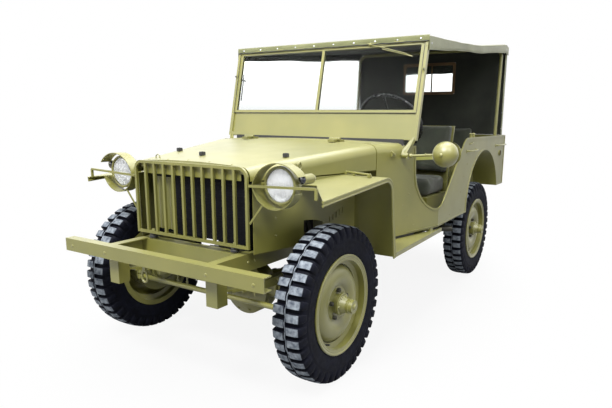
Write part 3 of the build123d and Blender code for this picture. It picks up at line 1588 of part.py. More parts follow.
# ---- mirror on an arm from the left pivot ----
mirror_centre = Vector(848, behind_front(750), 995)
mirror_radius = 68
mirror_band = 12
mirror_ball = 13
pivot_end = side_x(pivot_station + 16) + seat_gap + pivot_length
arm_root = Vector(pivot_end + mirror_ball + seat_gap, behind_front(pivot_station), pivot_z)
with BuildPart() as mirror_arm:
    with Locations(mirror_centre):
        Sphere(mirror_radius)
    split(bisect_by=Plane.XZ.offset(-mirror_centre.Y), keep=Keep.TOP)
    with BuildSketch(Plane.XZ.offset(-mirror_centre.Y)):
        with Locations((mirror_centre.X, mirror_centre.Z)):
            Circle(mirror_radius)
    extrude(amount=-mirror_band)
    run = mirror_centre - arm_root
    with BuildSketch(Plane(origin=arm_root, x_dir=(0, 0, 1), z_dir=run)):
        Circle(7)
    extrude(amount=run.length)
    with Locations(arm_root):
        Sphere(mirror_ball, rotation=(0, 0, 180))
mirror_arm.part.label = "mirror"
export_step(mirror_arm.part, "parts/mirror.step")

# ---- safety straps across the door openings ----
strap_z = 962
strap_height = 28
strap_thickness = 5
strap_front = door_front - 20
strap_rear = 1530
with BuildPart() as safety_straps:
    for end in (-1, 1):
        with BuildSketch(Plane.XY.offset(strap_z - strap_height / 2)):
            with BuildLine():
                Polyline(
                    (end * (side_x(strap_front) - sheet - seat_gap), behind_front(strap_front)),
                    (end * (body_half - sheet - seat_gap), behind_front(flare_end)),
                    (end * (body_half - sheet - seat_gap), behind_front(strap_rear)),
                    (end * (body_half - sheet - seat_gap - strap_thickness), behind_front(strap_rear)),
                    (end * (body_half - sheet - seat_gap - strap_thickness), behind_front(flare_end)),
                    (end * (side_x(strap_front) - sheet - seat_gap - strap_thickness), behind_front(strap_front)),
                    close=True,
                )
            make_face()
        extrude(amount=strap_height)
safety_straps.part.label = "safety_straps"
export_step(safety_straps.part, "parts/safety_straps.step")

# ---- tail lamps on the rear panel, round reflectors on the sides ----
tail_lamp_x = 590
tail_lamp_z = 770
reflector_station = 2490
reflector_z = 915
with BuildPart() as tail_lamps:
    with BuildSketch(slice_at(body_rear)):
        with Locations((-tail_lamp_x, tail_lamp_z), (tail_lamp_x, tail_lamp_z)):
            Circle(38)
    extrude(amount=-46)
    for end in (-1, 1):
        with BuildSketch(Plane.YZ.offset(end * body_half)):
            with Locations(side_point(reflector_station, reflector_z)):
                Circle(24)
        extrude(amount=end * 7)
tail_lamps.part.label = "tail_lamps"
export_step(tail_lamps.part, "parts/tail_lamps.step")

# ---- spare wheel on the rear panel ----
spare_x = -150
spare_z = 880
spare_centre = body_rear + 34 + tyre_width / 2
turn = Location((spare_x, behind_front(spare_centre), spare_z), (0, 0, 90))
spare_wheel = wheel_part(0, 0, 0, 1, None).moved(turn)
with BuildPart() as spare_carrier:
    add(spare_wheel)
    with BuildSketch(slice_at(body_rear)):
        with Locations((spare_x, spare_z)):
            Circle(82)
    extrude(amount=-(spare_centre + disc_seat - body_rear))
    with BuildSketch(slice_at(spare_centre + disc_seat)):
        with Locations((spare_x, spare_z)):
            Circle(hub_radius - 6)
    extrude(amount=-26)
spare_carrier.part.label = "spare_wheel"
export_step(spare_carrier.part, "parts/spare_wheel.step")
spare_tyre = tyre_part(0, 0, 0).moved(turn)
spare_tyre.label = "spare_tyre"
export_step(spare_tyre, "parts/spare_tyre.step")
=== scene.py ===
"""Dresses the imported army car: paint, rubber, canvas, glass and the small fittings, in metres."""
import json
from math import copysign, cos, pi, radians, sin, tau

import bmesh
import bpy
from mathutils import Matrix, Vector, noise
from mathutils.bvhtree import BVHTree


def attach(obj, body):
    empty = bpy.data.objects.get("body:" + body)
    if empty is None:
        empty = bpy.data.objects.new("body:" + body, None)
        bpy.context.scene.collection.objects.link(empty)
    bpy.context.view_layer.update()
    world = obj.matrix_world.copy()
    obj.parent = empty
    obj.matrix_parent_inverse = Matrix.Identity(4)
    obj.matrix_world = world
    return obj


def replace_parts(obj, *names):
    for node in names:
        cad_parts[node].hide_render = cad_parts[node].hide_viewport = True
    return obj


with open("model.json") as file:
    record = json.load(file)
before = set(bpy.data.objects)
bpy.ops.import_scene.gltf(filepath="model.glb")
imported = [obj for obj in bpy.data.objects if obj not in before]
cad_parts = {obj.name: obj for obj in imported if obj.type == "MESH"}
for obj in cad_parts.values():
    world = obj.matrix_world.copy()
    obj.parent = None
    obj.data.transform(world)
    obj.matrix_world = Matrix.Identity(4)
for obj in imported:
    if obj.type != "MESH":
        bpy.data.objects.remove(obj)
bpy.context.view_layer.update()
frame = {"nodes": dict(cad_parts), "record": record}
nodes = frame["nodes"]

# ---- sizes shared with the model, and directions ----
FRONT_AXLE = -1.01
REAR_AXLE = 1.01
TYRE_RADIUS = 0.357
WHEEL_X = 0.606
WHEELS = (("front_left", 1, FRONT_AXLE), ("front_right", -1, FRONT_AXLE),
          ("rear_left", 1, REAR_AXLE), ("rear_right", -1, REAR_AXLE))
SPARE = Vector((-0.15, 1.737, 0.88))
LEFT, BACK, UP, DOWN = Vector((1, 0, 0)), Vector((0, 1, 0)), Vector((0, 0, 1)), Vector((0, 0, -1))
FORE = Vector((0, -1, 0))


# ---- materials -------------------------------------------------------------------------------
class Tree:
    """A node tree whose nodes are set and linked by the names of their sockets."""

    def __init__(self, tree):
        self.tree = tree

    def put(self, node, **values):
        """Each value goes to the input of its name, linked if it is a socket, or else to the node's own setting."""
        for key, value in values.items():
            name = key.replace("_", " ")
            if name not in node.inputs:
                setattr(node, key, value)
            elif isinstance(value, bpy.types.NodeSocket):
                self.tree.links.new(value, node.inputs[name])
            else:
                node.inputs[name].default_value = value
        return node

    def out(self, kind, output, *sources, **values):
        """The named output of a new node, with the sources linked to its first inputs."""
        node = self.put(self.tree.nodes.new("ShaderNode" + kind), **values)
        for source, target in zip(sources, node.inputs):
            self.tree.links.new(source, target)
        return node.outputs[output]

    def seen(self):
        """1 for rays from the camera and through glass."""
        rays = self.tree.nodes.new("ShaderNodeLightPath").outputs
        return self.out("Math", "Value", rays["Is Camera Ray"], rays["Is Transmission Ray"], operation="MAXIMUM")


class Shader(Tree):
    """A Principled material with a few procedural layers on it."""

    def __init__(self, name, colour, roughness, metallic=0.0, **sockets):
        self.material = bpy.data.materials.new(name)
        self.material.use_nodes = True
        super().__init__(self.material.node_tree)
        self.shader = self.tree.nodes["Principled BSDF"]
        self.put(self.shader, Base_Color=(*colour, 1), Roughness=roughness, Metallic=metallic, **sockets)
        self.normal = {}

    def place(self, turn=(0, 0, 0)):
        """Object coordinates, turned."""
        return self.out("Mapping", "Vector", self.out("TexCoord", "Object"), Rotation=turn)

    def noise(self, scale, detail):
        return self.out("TexNoise", "Fac", Vector=self.place(), Scale=scale, Detail=detail)

    def ramp(self, value, low, high, start=0.35, stop=0.65):
        """From one colour to the other as the value goes from start to stop."""
        node = self.tree.nodes.new("ShaderNodeValToRGB")
        for element, position, colour in zip(node.color_ramp.elements, (start, stop), (low, high)):
            element.position, element.color = position, (*colour, 1)
        self.tree.links.new(value, node.inputs[0])
        return node.outputs["Color"]

    def vary(self, scale, low, high, detail=3.0):
        """Base colour between two tones by noise."""
        self.base = self.ramp(self.noise(scale, detail), low, high)
        self.put(self.shader, Base_Color=self.base)
        return self

    def rough(self, scale, low, high):
        """Roughness between two levels by noise."""
        level = self.out("MapRange", "Result", self.noise(scale, 4.0), From_Min=0.3, From_Max=0.7,
                         To_Min=low, To_Max=high)
        self.put(self.shader, Roughness=level)
        return self

    def bump(self, height, strength, distance):
        """One more layer of relief over those before it."""
        self.normal = {"Normal": self.out("Bump", "Normal", Height=height, Strength=strength, Distance=distance,
                                          **self.normal)}
        self.put(self.shader, **self.normal)
        return self

    def grain(self, scale, detail, strength, distance):
        return self.bump(self.noise(scale, detail), strength, distance)

    def wave(self, scale, strength, distance, turn=(0, 0, 0), **settings):
        height = self.out("TexWave", "Fac", Vector=self.place(turn), Scale=scale, **settings)
        return self.bump(height, strength, distance)


def tone(red, green, blue):
    """An sRGB colour, 0 to 255, as linear values."""
    def linear(value):
        value /= 255
        return value / 12.92 if value <= 0.04045 else ((value + 0.055) / 1.055) ** 2.4

    return tuple(linear(value) for value in (red, green, blue))


def wave_scale(pitch):
    """The wave texture's scale for bands at a pitch."""
    return 0.5 / pitch / pi


def make_paint(name, low, high):
    """Olive enamel: satin, a little orange peel, slightly uneven in tone."""
    made = Shader(name, high, 0.46, Coat_Weight=1.0, Coat_Roughness=0.42, Sheen_Weight=0.2, Sheen_Roughness=0.35)
    made.vary(3.1, low, high).rough(9.0, 0.41, 0.53)
    return made.grain(420.0, 2.0, 0.06, 0.0006).grain(6.0, 1.0, 0.08, 0.004).material


def make_rubber(name, low, high, roughness):
    made = Shader(name, high, roughness, Sheen_Weight=0.15).vary(30.0, low, high, 5.0)
    return made.rough(60.0, roughness - 0.08, roughness + 0.1).grain(900.0, 2.0, 0.12, 0.0006).material


def make_weave(name, low, high, pitch, sheen=0.4):
    """Plain-woven cloth: threads crossing at the pitch, with slow changes of tone."""
    made = Shader(name, high, 0.85, Sheen_Weight=sheen, Sheen_Roughness=0.5).vary(5.0, low, high, 5.0)
    for turn in ((0, 0, 0), (0, 0, pi / 2), (0, pi / 2, 0)):
        made.wave(wave_scale(pitch), 0.1, pitch * 0.3, turn, Distortion=0.4, Detail=1.0)
    return made.grain(24.0, 3.0, 0.2, 0.004).material


def make_metal(name, colour, roughness, metallic=1.0):
    made = Shader(name, colour, roughness, metallic).vary(18.0, tuple(0.8 * value for value in colour), colour, 4.0)
    return made.rough(40.0, roughness - 0.06, roughness + 0.1).grain(300.0, 3.0, 0.08, 0.0005).material


def make_glass(name, colour, roughness, ior=1.45):
    made = Shader(name, colour, roughness, Transmission_Weight=1.0, IOR=ior, Specular_IOR_Level=0.2)
    return made.grain(8.0, 1.0, 0.02, 0.002).material


def make_lens_glass():
    """Pressed lamp glass: upright flutes over a finer waviness."""
    made = Shader("lens_glass", (0.98, 0.99, 1.0), 0.06, Transmission_Weight=0.7, IOR=1.45, Coat_Weight=0.5)
    return made.wave(26.0, 0.5, 0.0016, Distortion=1.2).grain(90.0, 3.0, 0.4, 0.0012).material


def make_marker_glass():
    """Blue marker lens with fine ribs."""
    made = Shader("marker_glass", tone(20, 26, 52), 0.08, Coat_Weight=1.0, Coat_Roughness=0.03)
    return made.vary(30.0, tone(14, 18, 40), tone(26, 34, 66)).wave(60.0, 0.2, 0.0008).material


def make_core():
    """Radiator core: fine upright fins crossed by thin tubes."""
    made = Shader("radiator_core", tone(7, 8, 14), 0.6, Specular_IOR_Level=0.12)
    made.vary(20.0, tone(5, 6, 10), tone(12, 13, 20))
    for turn, pitch in (((0, 0, 0), 0.004), ((0, pi / 2, 0), 0.006)):
        made.wave(wave_scale(pitch), 0.35, 0.002, turn, Distortion=0.0)
    return made.material


def make_tyre_material():
    """Dark rubber, worn pale where the mesh's wear is high."""
    made = Shader("tyre_tread", tone(13, 14, 24), 0.55, Specular_IOR_Level=0.1)
    made.vary(26.0, tone(6, 7, 14), tone(13, 15, 26), 5.0)
    wear = made.out("Attribute", "Fac", attribute_name="wear")
    worn = made.ramp(made.noise(55.0, 6.0), tone(72, 79, 90), tone(142, 149, 156), 0.3, 0.7)
    edge = made.out("MapRange", "Result", wear, From_Min=0.62, From_Max=0.97)
    made.put(made.shader, Base_Color=made.out("Mix", "Result", data_type="RGBA", Factor=edge, A=made.base, B=worn))
    return made.rough(60.0, 0.6, 0.75).grain(700.0, 3.0, 0.15, 0.0006).grain(60.0, 4.0, 0.12, 0.0015).material


paint = make_paint("olive_enamel", tone(103, 102, 39), tone(117, 114, 46))
rubber = make_rubber("tyre_rubber", tone(24, 27, 34), tone(38, 42, 52), 0.5)
rubber_part = make_rubber("moulded_rubber", tone(20, 21, 22), tone(30, 31, 32), 0.55)
tyre_material = make_tyre_material()
canvas_cloth = make_weave("canvas_cloth", tone(100, 103, 66), tone(121, 123, 84), 0.0016)
# painted shade: a darker copy of the canvas cloth, put on the inner faces of the roof, the curtain and the window flap
canvas_painted_shade = make_weave("canvas_inside_painted_shade", tone(30, 33, 26), tone(44, 47, 38), 0.0016, 0.1)
seat_cloth = make_weave("seat_cloth", tone(43, 47, 37), tone(58, 62, 49), 0.0014, 0.2)
webbing = make_weave("webbing", tone(150, 152, 52), tone(178, 178, 70), 0.001)
binding = make_weave("window_binding", tone(98, 74, 44), tone(120, 92, 58), 0.0012)
steel_dark = make_metal("dark_steel", tone(58, 57, 50), 0.5, 0.6)
steel_bright = make_metal("bright_steel", tone(190, 192, 196), 0.3)
black_paint = make_metal("black_paint", tone(22, 23, 25), 0.26, 0.0)
reflector_metal = make_metal("reflector", tone(238, 240, 242), 0.12)
pane_glass = make_glass("pane_glass", (0.95, 0.98, 0.97), 0.1, 1.12)
red_lens = make_glass("red_lens", tone(190, 24, 18), 0.12)
lens_glass = make_lens_glass()
marker_glass = make_marker_glass()
SLOT_MATERIALS = {
    "olive_paint": paint,
    "tyre_rubber": rubber,
    "window_glass": pane_glass,
    "lens_glass": lens_glass,
    "canvas": canvas_cloth,
    "seat_canvas": seat_cloth,
    "webbing": webbing,
    "dark_steel": steel_dark,
    "radiator_black": make_core(),
    "red_lens": red_lens,
    "window_binding": binding,
    "control_black": black_paint,
}
for part in frame["record"]["subparts"]:
    materials = nodes[part["node"]].data.materials
    materials.clear()
    materials.append(SLOT_MATERIALS[part["material_slot"]])


# ---- studio ----------------------------------------------------------------------------------
# metres, radians, pixels of an image 612 wide, and the sensor's width in mm
CAMERA_PLACE = (1.7844, -2.9424, 1.17)
CAMERA_TURN = 0.5417
CAMERA_DROP = 0.1934
CAMERA_ROLL = 0.0106
FOCAL_PIXELS = 523.68
IMAGE_WIDTH = 612
CENTRE_OFFSET = (28.6, 18.1)
SENSOR = 36


def add_object(name, data):
    """A new object of the data, linked to the scene."""
    obj = bpy.data.objects.new(name, data)
    bpy.context.scene.collection.objects.link(obj)
    return obj


def make_camera():
    """Pinhole camera at CAMERA_PLACE: turned to the left, dropped below level and rolled by the angles above."""
    data = bpy.data.cameras.new("camera")
    camera = add_object("camera", data)
    data.sensor_fit = "HORIZONTAL"
    data.sensor_width = SENSOR
    data.lens = SENSOR * FOCAL_PIXELS / IMAGE_WIDTH
    data.shift_x = -CENTRE_OFFSET[0] / IMAGE_WIDTH
    data.shift_y = CENTRE_OFFSET[1] / IMAGE_WIDTH
    data.clip_start = 0.05
    forward = Vector((-sin(CAMERA_TURN) * cos(CAMERA_DROP), cos(CAMERA_TURN) * cos(CAMERA_DROP), -sin(CAMERA_DROP)))
    right = forward.cross(UP).normalized()
    up = right.cross(forward)
    rolled_right = cos(CAMERA_ROLL) * right + sin(CAMERA_ROLL) * up
    rolled_up = -sin(CAMERA_ROLL) * right + cos(CAMERA_ROLL) * up
    turn = Matrix((rolled_right, rolled_up, -forward)).transposed()
    camera.matrix_world = Matrix.Translation(CAMERA_PLACE) @ turn.to_4x4()
    bpy.context.scene.camera = camera


def area_lamp(name, place, aim, size, power):
    """A soft rectangular lamp that faces its aim."""
    data = bpy.data.lights.new(name, "AREA")
    data.shape = "RECTANGLE"
    data.size, data.size_y = size
    data.energy = power
    lamp = add_object(name, data)
    lamp.location = place
    lamp.rotation_euler = (Vector(aim) - Vector(place)).to_track_quat("-Z", "Y").to_euler()


def make_world():
    """Dim light from all round; the camera sees white, and gloss a sky that darkens towards the ground."""
    world = bpy.data.worlds.new("studio")
    bpy.context.scene.world = world
    world.use_nodes = True
    made = Tree(world.node_tree)
    level = made.out("MapRange", "Result", made.seen(), To_Min=0.035, To_Max=1.0)
    height = made.out("SeparateXYZ", "Z", made.out("TexCoord", "Generated"))
    sky = made.out("MapRange", "Result", height, From_Min=-0.08, From_Max=0.1, To_Min=0.1, To_Max=1.7)
    glossy = made.out("LightPath", "Is Glossy Ray")
    strength = made.out("Mix", "Result", data_type="FLOAT", Factor=glossy, A=level, B=sky)
    made.put(made.tree.nodes["Background"], Strength=strength, Color=(1, 1, 1, 1))


def make_floor():
    """Near the car the floor takes soft shadows, and further out it is plain white."""
    bpy.ops.mesh.primitive_plane_add(size=60, location=(0, 0, 0))
    floor = bpy.context.object
    floor.name = "floor"
    made = Shader("floor", (0.34, 0.34, 0.34), 0.9)
    oval = made.out("Mapping", "Vector", made.out("TexCoord", "Object"), Scale=(1.0, 0.62, 1.0))
    reach = made.out("VectorMath", "Value", oval, operation="LENGTH")
    fade = made.out("MapRange", "Result", reach, interpolation_type="SMOOTHSTEP", From_Min=0.75, From_Max=1.35,
                    To_Min=0.9, To_Max=1.0)
    share = made.out("Math", "Value", made.seen(), fade, operation="MULTIPLY")
    glow = made.out("Emission", "Emission", Strength=1.0)
    mix = made.out("MixShader", "Shader", share, made.shader.outputs[0], glow)
    made.put(made.tree.nodes["Material Output"], Surface=mix)
    floor.data.materials.append(made.material)


def make_studio():
    bpy.context.scene.view_settings.view_transform = "Standard"
    make_world()
    make_floor()
    area_lamp("overhead", (0.2, 0.4, 4.8), (0, 0, 0.6), (3.4, 4.6), 300)
    area_lamp("front", (0.7, -3.9, 5.0), (0, -0.9, 0.7), (1.8, 1.4), 470)
    area_lamp("far_front", (-2.9, -4.1, 2.7), (0, -0.3, 1.1), (3.0, 2.4), 45)
    area_lamp("side", (3.6, -1.7, 4.3), (0.3, 0, 0.6), (2.0, 2.4), 150)


# ---- mesh helpers ----------------------------------------------------------------------------
def spread(start, stop, count):
    """Evenly spaced values with both ends in, so one more than the count."""
    return [start + (stop - start) * step / count for step in range(count + 1)]


def circle(count, start=0.0):
    """Angles evenly round a turn."""
    return [start + tau * step / count for step in range(count)]


def at(side, *places):
    """Places given for the left side, on the given side."""
    return [Vector((side * x, y, z)) for x, y, z in places]


def both(places):
    """Places and their mirror images."""
    return at(1, *places) + at(-1, *places)


def evaluated(obj):
    """The object's mesh as its modifiers leave it."""
    return bpy.data.meshes.new_from_object(obj.evaluated_get(bpy.context.evaluated_depsgraph_get()))


def apply_modifiers(obj):
    """Makes what the modifiers give the object's own mesh."""
    bpy.context.view_layer.update()
    obj.data = evaluated(obj)
    obj.modifiers.clear()


class Shape:
    """Vertices and faces gathered from many small forms, then made into one piece."""

    def __init__(self):
        self.points = []
        self.faces = []
        self.marks = []
        self.wear = []

    def add(self, points, faces, mark=0, wear=None):
        """Points with the faces between them; mark is the material's place in the list, wear a value per point."""
        start = len(self.points)
        self.points += [tuple(point) for point in points]
        self.faces += [tuple(start + index for index in face) for face in faces]
        self.marks += [mark] * len(faces)
        self.wear += wear or [0.0] * len(points)

    def grid(self, rows, close_rows=False, close_ring=False, mark=0, wear=None):
        """Rows of points joined into quads; close_ring joins each row's ends, close_rows the last row to the first."""
        count = len(rows[0])
        faces = []
        for row in range(len(rows) if close_rows else len(rows) - 1):
            here, after = row * count, (row + 1) % len(rows) * count
            for column in range(count if close_ring else count - 1):
                beside = (column + 1) % count
                faces.append((here + column, here + beside, after + beside, after + column))
        self.add([point for row in rows for point in row], faces, mark, wear)

    def lathe(self, section, centre, axis, steps):
        """Section points (along the axis, radius) turned about the axis."""
        axis = Vector(axis).normalized()
        side = axis.orthogonal().normalized()
        other = axis.cross(side)
        rows = []
        for angle in circle(steps):
            out = side * cos(angle) + other * sin(angle)
            rows.append([Vector(centre) + axis * along + out * radius for along, radius in section])
        self.grid(rows, close_rows=True)

    def tube(self, path, radius, steps, closed=False, flat=1.0, up=None):
        """Round or flattened bar along a path."""
        path = [Vector(point) for point in path]
        count = len(path)
        rows = []
        side = None
        for index, point in enumerate(path):
            before = path[(index - 1) % count] if closed or index else point
            after = path[(index + 1) % count] if closed or index < count - 1 else point
            along = (after - before).normalized()
            if side is None:
                side = along.cross(Vector(up)).normalized() if up else along.orthogonal().normalized()
            side = (side - along * side.dot(along)).normalized()
            other = along.cross(side)
            rows.append([point + side * radius * cos(turn) + other * radius * flat * sin(turn)
                         for turn in circle(steps)])
        self.grid(rows, close_rows=closed, close_ring=True)
        if not closed:
            face = tuple(range(steps))
            self.add(rows[0], [face[::-1]])
            self.add(rows[-1], [face])

    def block(self, centre, size, bevel):
        """A box, its edges rounded by the bevel."""
        made = bmesh.new()
        bmesh.ops.create_cube(made, size=1, matrix=Matrix.Diagonal((*size, 1)))
        bmesh.ops.bevel(made, geom=made.edges[:], offset=min(bevel, 0.45 * min(size)), segments=2, affect="EDGES")
        made.verts.index_update()
        self.add([Vector(centre) + vertex.co for vertex in made.verts],
                 [[vertex.index for vertex in face.verts] for face in made.faces])
        made.free()

    def head(self, place, normal, radius, height, sides=6, mark=0, turn=0.0):
        """A bolt head or rivet: chamfered prism for 6 sides, dome for more."""
        normal = Vector(normal).normalized()
        side = Matrix.Rotation(turn, 3, normal) @ normal.orthogonal().normalized()
        other = normal.cross(side)
        rings = [(cos(lift), sin(lift)) for lift in (0, 0.35, 0.7, 1.05, 1.35, 1.55)]
        if sides == 6:
            rings = [(1.0, 0.0), (1.0, 0.72), (0.86, 1.0), (0.02, 1.0)]
        self.grid([[Vector(place) + normal * height * lift + (side * cos(angle) + other * sin(angle)) * radius * share
                    for angle in circle(sides)] for share, lift in rings], close_ring=True, mark=mark)

    def ball(self, centre, radius, steps=20):
        """A sphere, its poles a hair open."""
        profile = [(-radius * cos(lift), max(0.0003, radius * sin(lift))) for lift in spread(0, pi, 12)]
        self.lathe(profile, centre, UP, steps)

    def head_each(self, places, *how):
        """The same head at each place."""
        for place in places:
            self.head(place, *how)

    def piece(self, name, slot="olive_paint", body="chassis", smooth=30.0, materials=None):
        """The finished object, in its slot's material unless others are given."""
        mesh = bpy.data.meshes.new(name)
        mesh.from_pydata(self.points, [], self.faces)
        if any(self.wear):
            mesh.attributes.new("wear", "FLOAT", "POINT").data.foreach_set("value", self.wear)
        made = bmesh.new()
        made.from_mesh(mesh)
        for face, mark in zip(made.faces, self.marks):
            face.material_index = mark
        bmesh.ops.remove_doubles(made, verts=made.verts[:], dist=1e-6)
        bmesh.ops.recalc_face_normals(made, faces=made.faces[:])
        made.to_mesh(mesh)
        made.free()
        return finish(add_object(name, mesh), materials or [SLOT_MATERIALS[slot]], body, smooth)


def finish(obj, materials, body, smooth):
    """Materials, smooth shading up to an angle, and body."""
    for material in materials:
        obj.data.materials.append(material)
    obj.data.shade_smooth()
    obj.data.set_sharp_from_angle(angle=radians(smooth))
    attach(obj, body)
    return obj




# ---- tyres -----------------------------------------------------------------------------------
LUGS = 40
LUG_TOP = 0.0165
LUG_FOOT = 0.0215
LUG_EDGE = 0.0016
# offset from the centre plane, radius of the lug's top, radius of its root
LUG_SECTION = [
    (0.0065, 0.356, 0.339), (0.009, 0.3568, 0.3385), (0.03, 0.3562, 0.3375), (0.05, 0.354, 0.335),
    (0.061, 0.3505, 0.33), (0.0675, 0.344, 0.323), (0.0705, 0.334, 0.316), (0.0722, 0.322, 0.31),
    (0.0724, 0.31, 0.304), (0.0712, 0.3, 0.3),
]
# across a lug: distance along the tread, share of its height
LUG_PROFILE = [(-LUG_FOOT, 0), (-LUG_TOP - LUG_EDGE, 0.86), (-LUG_TOP, 1),
               (LUG_TOP, 1), (LUG_TOP + LUG_EDGE, 0.86), (LUG_FOOT, 0)]
# the wavy rib between the rows of lugs: offset, radius
RIB_SECTION = [(-0.0032, 0.338), (-0.0022, 0.3535), (0.0022, 0.3535), (0.0032, 0.338)]
# carcass from bead to bead: offset, radius
CARCASS = [
    (0.056, 0.206), (0.0615, 0.215), (0.0625, 0.229), (0.065, 0.236), (0.0668, 0.24), (0.0668, 0.2425),
    (0.0676, 0.245), (0.069, 0.255), (0.0702, 0.27), (0.0708, 0.285), (0.0712, 0.287), (0.0712, 0.289),
    (0.0706, 0.291), (0.07, 0.3), (0.0688, 0.31), (0.0665, 0.32), (0.062, 0.329), (0.054, 0.3355),
    (0.04, 0.3385), (0.02, 0.3395), (0.006, 0.3398),
]


def make_tyre(name, centre, body, replaced, turn=None):
    """A tyre round the X axis, then turned and carried to its place."""
    shape = Shape()
    shape.lathe(CARCASS + [(-offset, radius) for offset, radius in reversed(CARCASS)], (0, 0, 0), LEFT, 144)
    for row in (-1, 1):
        for middle in circle(LUGS, 0.25 * row * tau / LUGS):
            rows, wear = [], []
            for index, (offset, top, root) in enumerate(LUG_SECTION):
                slim = 1 - 0.25 * max(0, index - 4) / 5
                strip = []
                for along, lift in LUG_PROFILE:
                    radius = root - 0.002 + (top - root + 0.002) * lift
                    sink = 0.0028 * (1 - lift) if index > 5 else 0.0
                    angle = middle + along * slim / TYRE_RADIUS
                    strip.append((row * (offset - sink), radius * cos(angle), radius * sin(angle)))
                    wear.append(1.0 if lift == 1 and index < 5 else 0.0)
                rows.append(strip)
            shape.grid(rows, wear=wear)
            shape.add(rows[0], [(0, 1, 2, 3, 4, 5)])
    steps = 8 * LUGS
    shape.grid([[(0.0026 * sin(angle * LUGS) + side, radius * cos(angle), radius * sin(angle))
                 for side, radius in RIB_SECTION] for angle in circle(steps)],
               close_rows=True, wear=[0.0, 0.95, 0.95, 0.0] * steps)
    turn = turn or Matrix.Identity(3)
    shape.points = [tuple(Vector(centre) + turn @ Vector(point)) for point in shape.points]
    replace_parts(shape.piece(name, "tyre_rubber", body, 35, [tyre_material]), replaced)


for name, side, axle in WHEELS:
    make_tyre(f"tread_{name}", (side * WHEEL_X, axle, TYRE_RADIUS), f"wheel_{name}", f"tyre_{name}")
make_tyre("tread_spare", SPARE, "chassis", "spare_tyre", Matrix.Rotation(pi / 2, 3, "Z"))


# ---- canvas: the roof, the rear curtain and its corner wraps ---------------------------------
ROOF_HALF = 0.683
ROOF_FRONT = -0.127
ROOF_REAR = 1.629
BOW_Y = 1.55
HEADER_TOP = 1.629
BOW_TOP = 1.7815
ROOF_DIP = 0.025
VALANCE = 0.06
CANVAS_THICKNESS = 0.0022
CURTAIN_LOW = 1.059
CURTAIN_HIGH = 1.759
CURTAIN_Y = 1.6285
CURTAIN_HALF = 0.6745
# half-width, foot and head of the rear window
WINDOW = (0.24, 1.4, 1.665)


def fold(point, stretch, depth, seed=0.0):
    """A smooth cloth ripple at a point: stretch sets its scale along each axis."""
    place = Vector((point[0] * stretch[0] + seed, point[1] * stretch[1], point[2] * stretch[2]))
    return depth * noise.noise(place)


def make_cloth(name, rows, thickness, materials, skip=None, flip=False):
    """A grid of points made into a thin cloth, with the last material on its inside."""
    count = len(rows[0])
    faces = [
        (row * count + column, (row + 1) * count + column, (row + 1) * count + column + 1, row * count + column + 1)
        for row in range(len(rows) - 1)
        for column in range(count - 1)
        if not (skip and skip(row, column))
    ]
    mesh = bpy.data.meshes.new(name)
    if flip:
        faces = [face[::-1] for face in faces]
    mesh.from_pydata([tuple(point) for row in rows for point in row], [], faces)
    made = bmesh.new()
    made.from_mesh(mesh)
    bmesh.ops.delete(made, geom=[vertex for vertex in made.verts if not vertex.link_faces], context="VERTS")
    made.to_mesh(mesh)
    made.free()
    obj = add_object(name, mesh)
    for material in materials:
        mesh.materials.append(material)
    solid = obj.modifiers.new("thickness", "SOLIDIFY")
    solid.thickness = thickness
    solid.offset = -1
    solid.material_offset = len(materials) - 1
    apply_modifiers(obj)
    return finish(obj, [], "chassis", 50)


def roof_height(y):
    """Height of the roof's middle line: up from the header, a long dip, up to the bow."""
    share = (y - ROOF_FRONT) / (BOW_Y - ROOF_FRONT)
    if share > 1:
        return BOW_TOP - 0.012 * (y - BOW_Y) / 0.08
    return HEADER_TOP + share * (BOW_TOP - HEADER_TOP) - ROOF_DIP * sin(pi * share) ** 1.2


def make_roof():
    """The roof sheet with its side valances; gives its rows, front to rear."""
    # across: share of the half-width, and how far down the valance
    across = ([(-1.0, drop) for drop in spread(1, 0, 12)] + [(side, 0.0) for side in spread(-1, 1, 96)[1:-1]]
              + [(1.0, drop) for drop in spread(0, 1, 12)])
    rows = []
    for share in spread(0, 1, 120):
        y = ROOF_FRONT + (ROOF_REAR - ROOF_FRONT) * share
        slack = sin(pi * min(1, share / 0.93)) if share < 0.93 else 0
        row = []
        for side, drop in across:
            x = side * ROOF_HALF
            z = roof_height(y) - 0.004 * abs(side) ** 6
            z -= 0.003 * slack * (1 - side * side)
            z += fold((x, y, 0), (3.0, 1.1, 0), 0.0045 * slack)
            z += fold((x + 0.5 * y, y - 0.35 * x, 0), (9.0, 2.2, 0), 0.0022 * (0.25 + slack), 4.0)
            if drop > 0 or abs(side) == 1:
                # the valance hangs from the edge, a little wavy
                hang = drop * (VALANCE + 0.014 * (1 - min(1.0, share * 4)) - 0.012 * slack + 0.002 * sin(y * 9.0))
                wave = fold((0, y, 0), (0, 5.0, 0), 0.005 * drop, 7.0 + side) - 0.004 * drop
                x = side * (ROOF_HALF + min(0.0, wave) * slack - 0.001 * (1 - drop))
                z -= 0.004 + hang
            row.append(Vector((x, y, z)))
        rows.append(row)
    # the roof's underside takes the darker canvas copy, which is painted shade
    roof = make_cloth("roof_canvas", rows, CANVAS_THICKNESS, [canvas_cloth, canvas_painted_shade], flip=True)
    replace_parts(roof, "canvas_roof")
    return rows


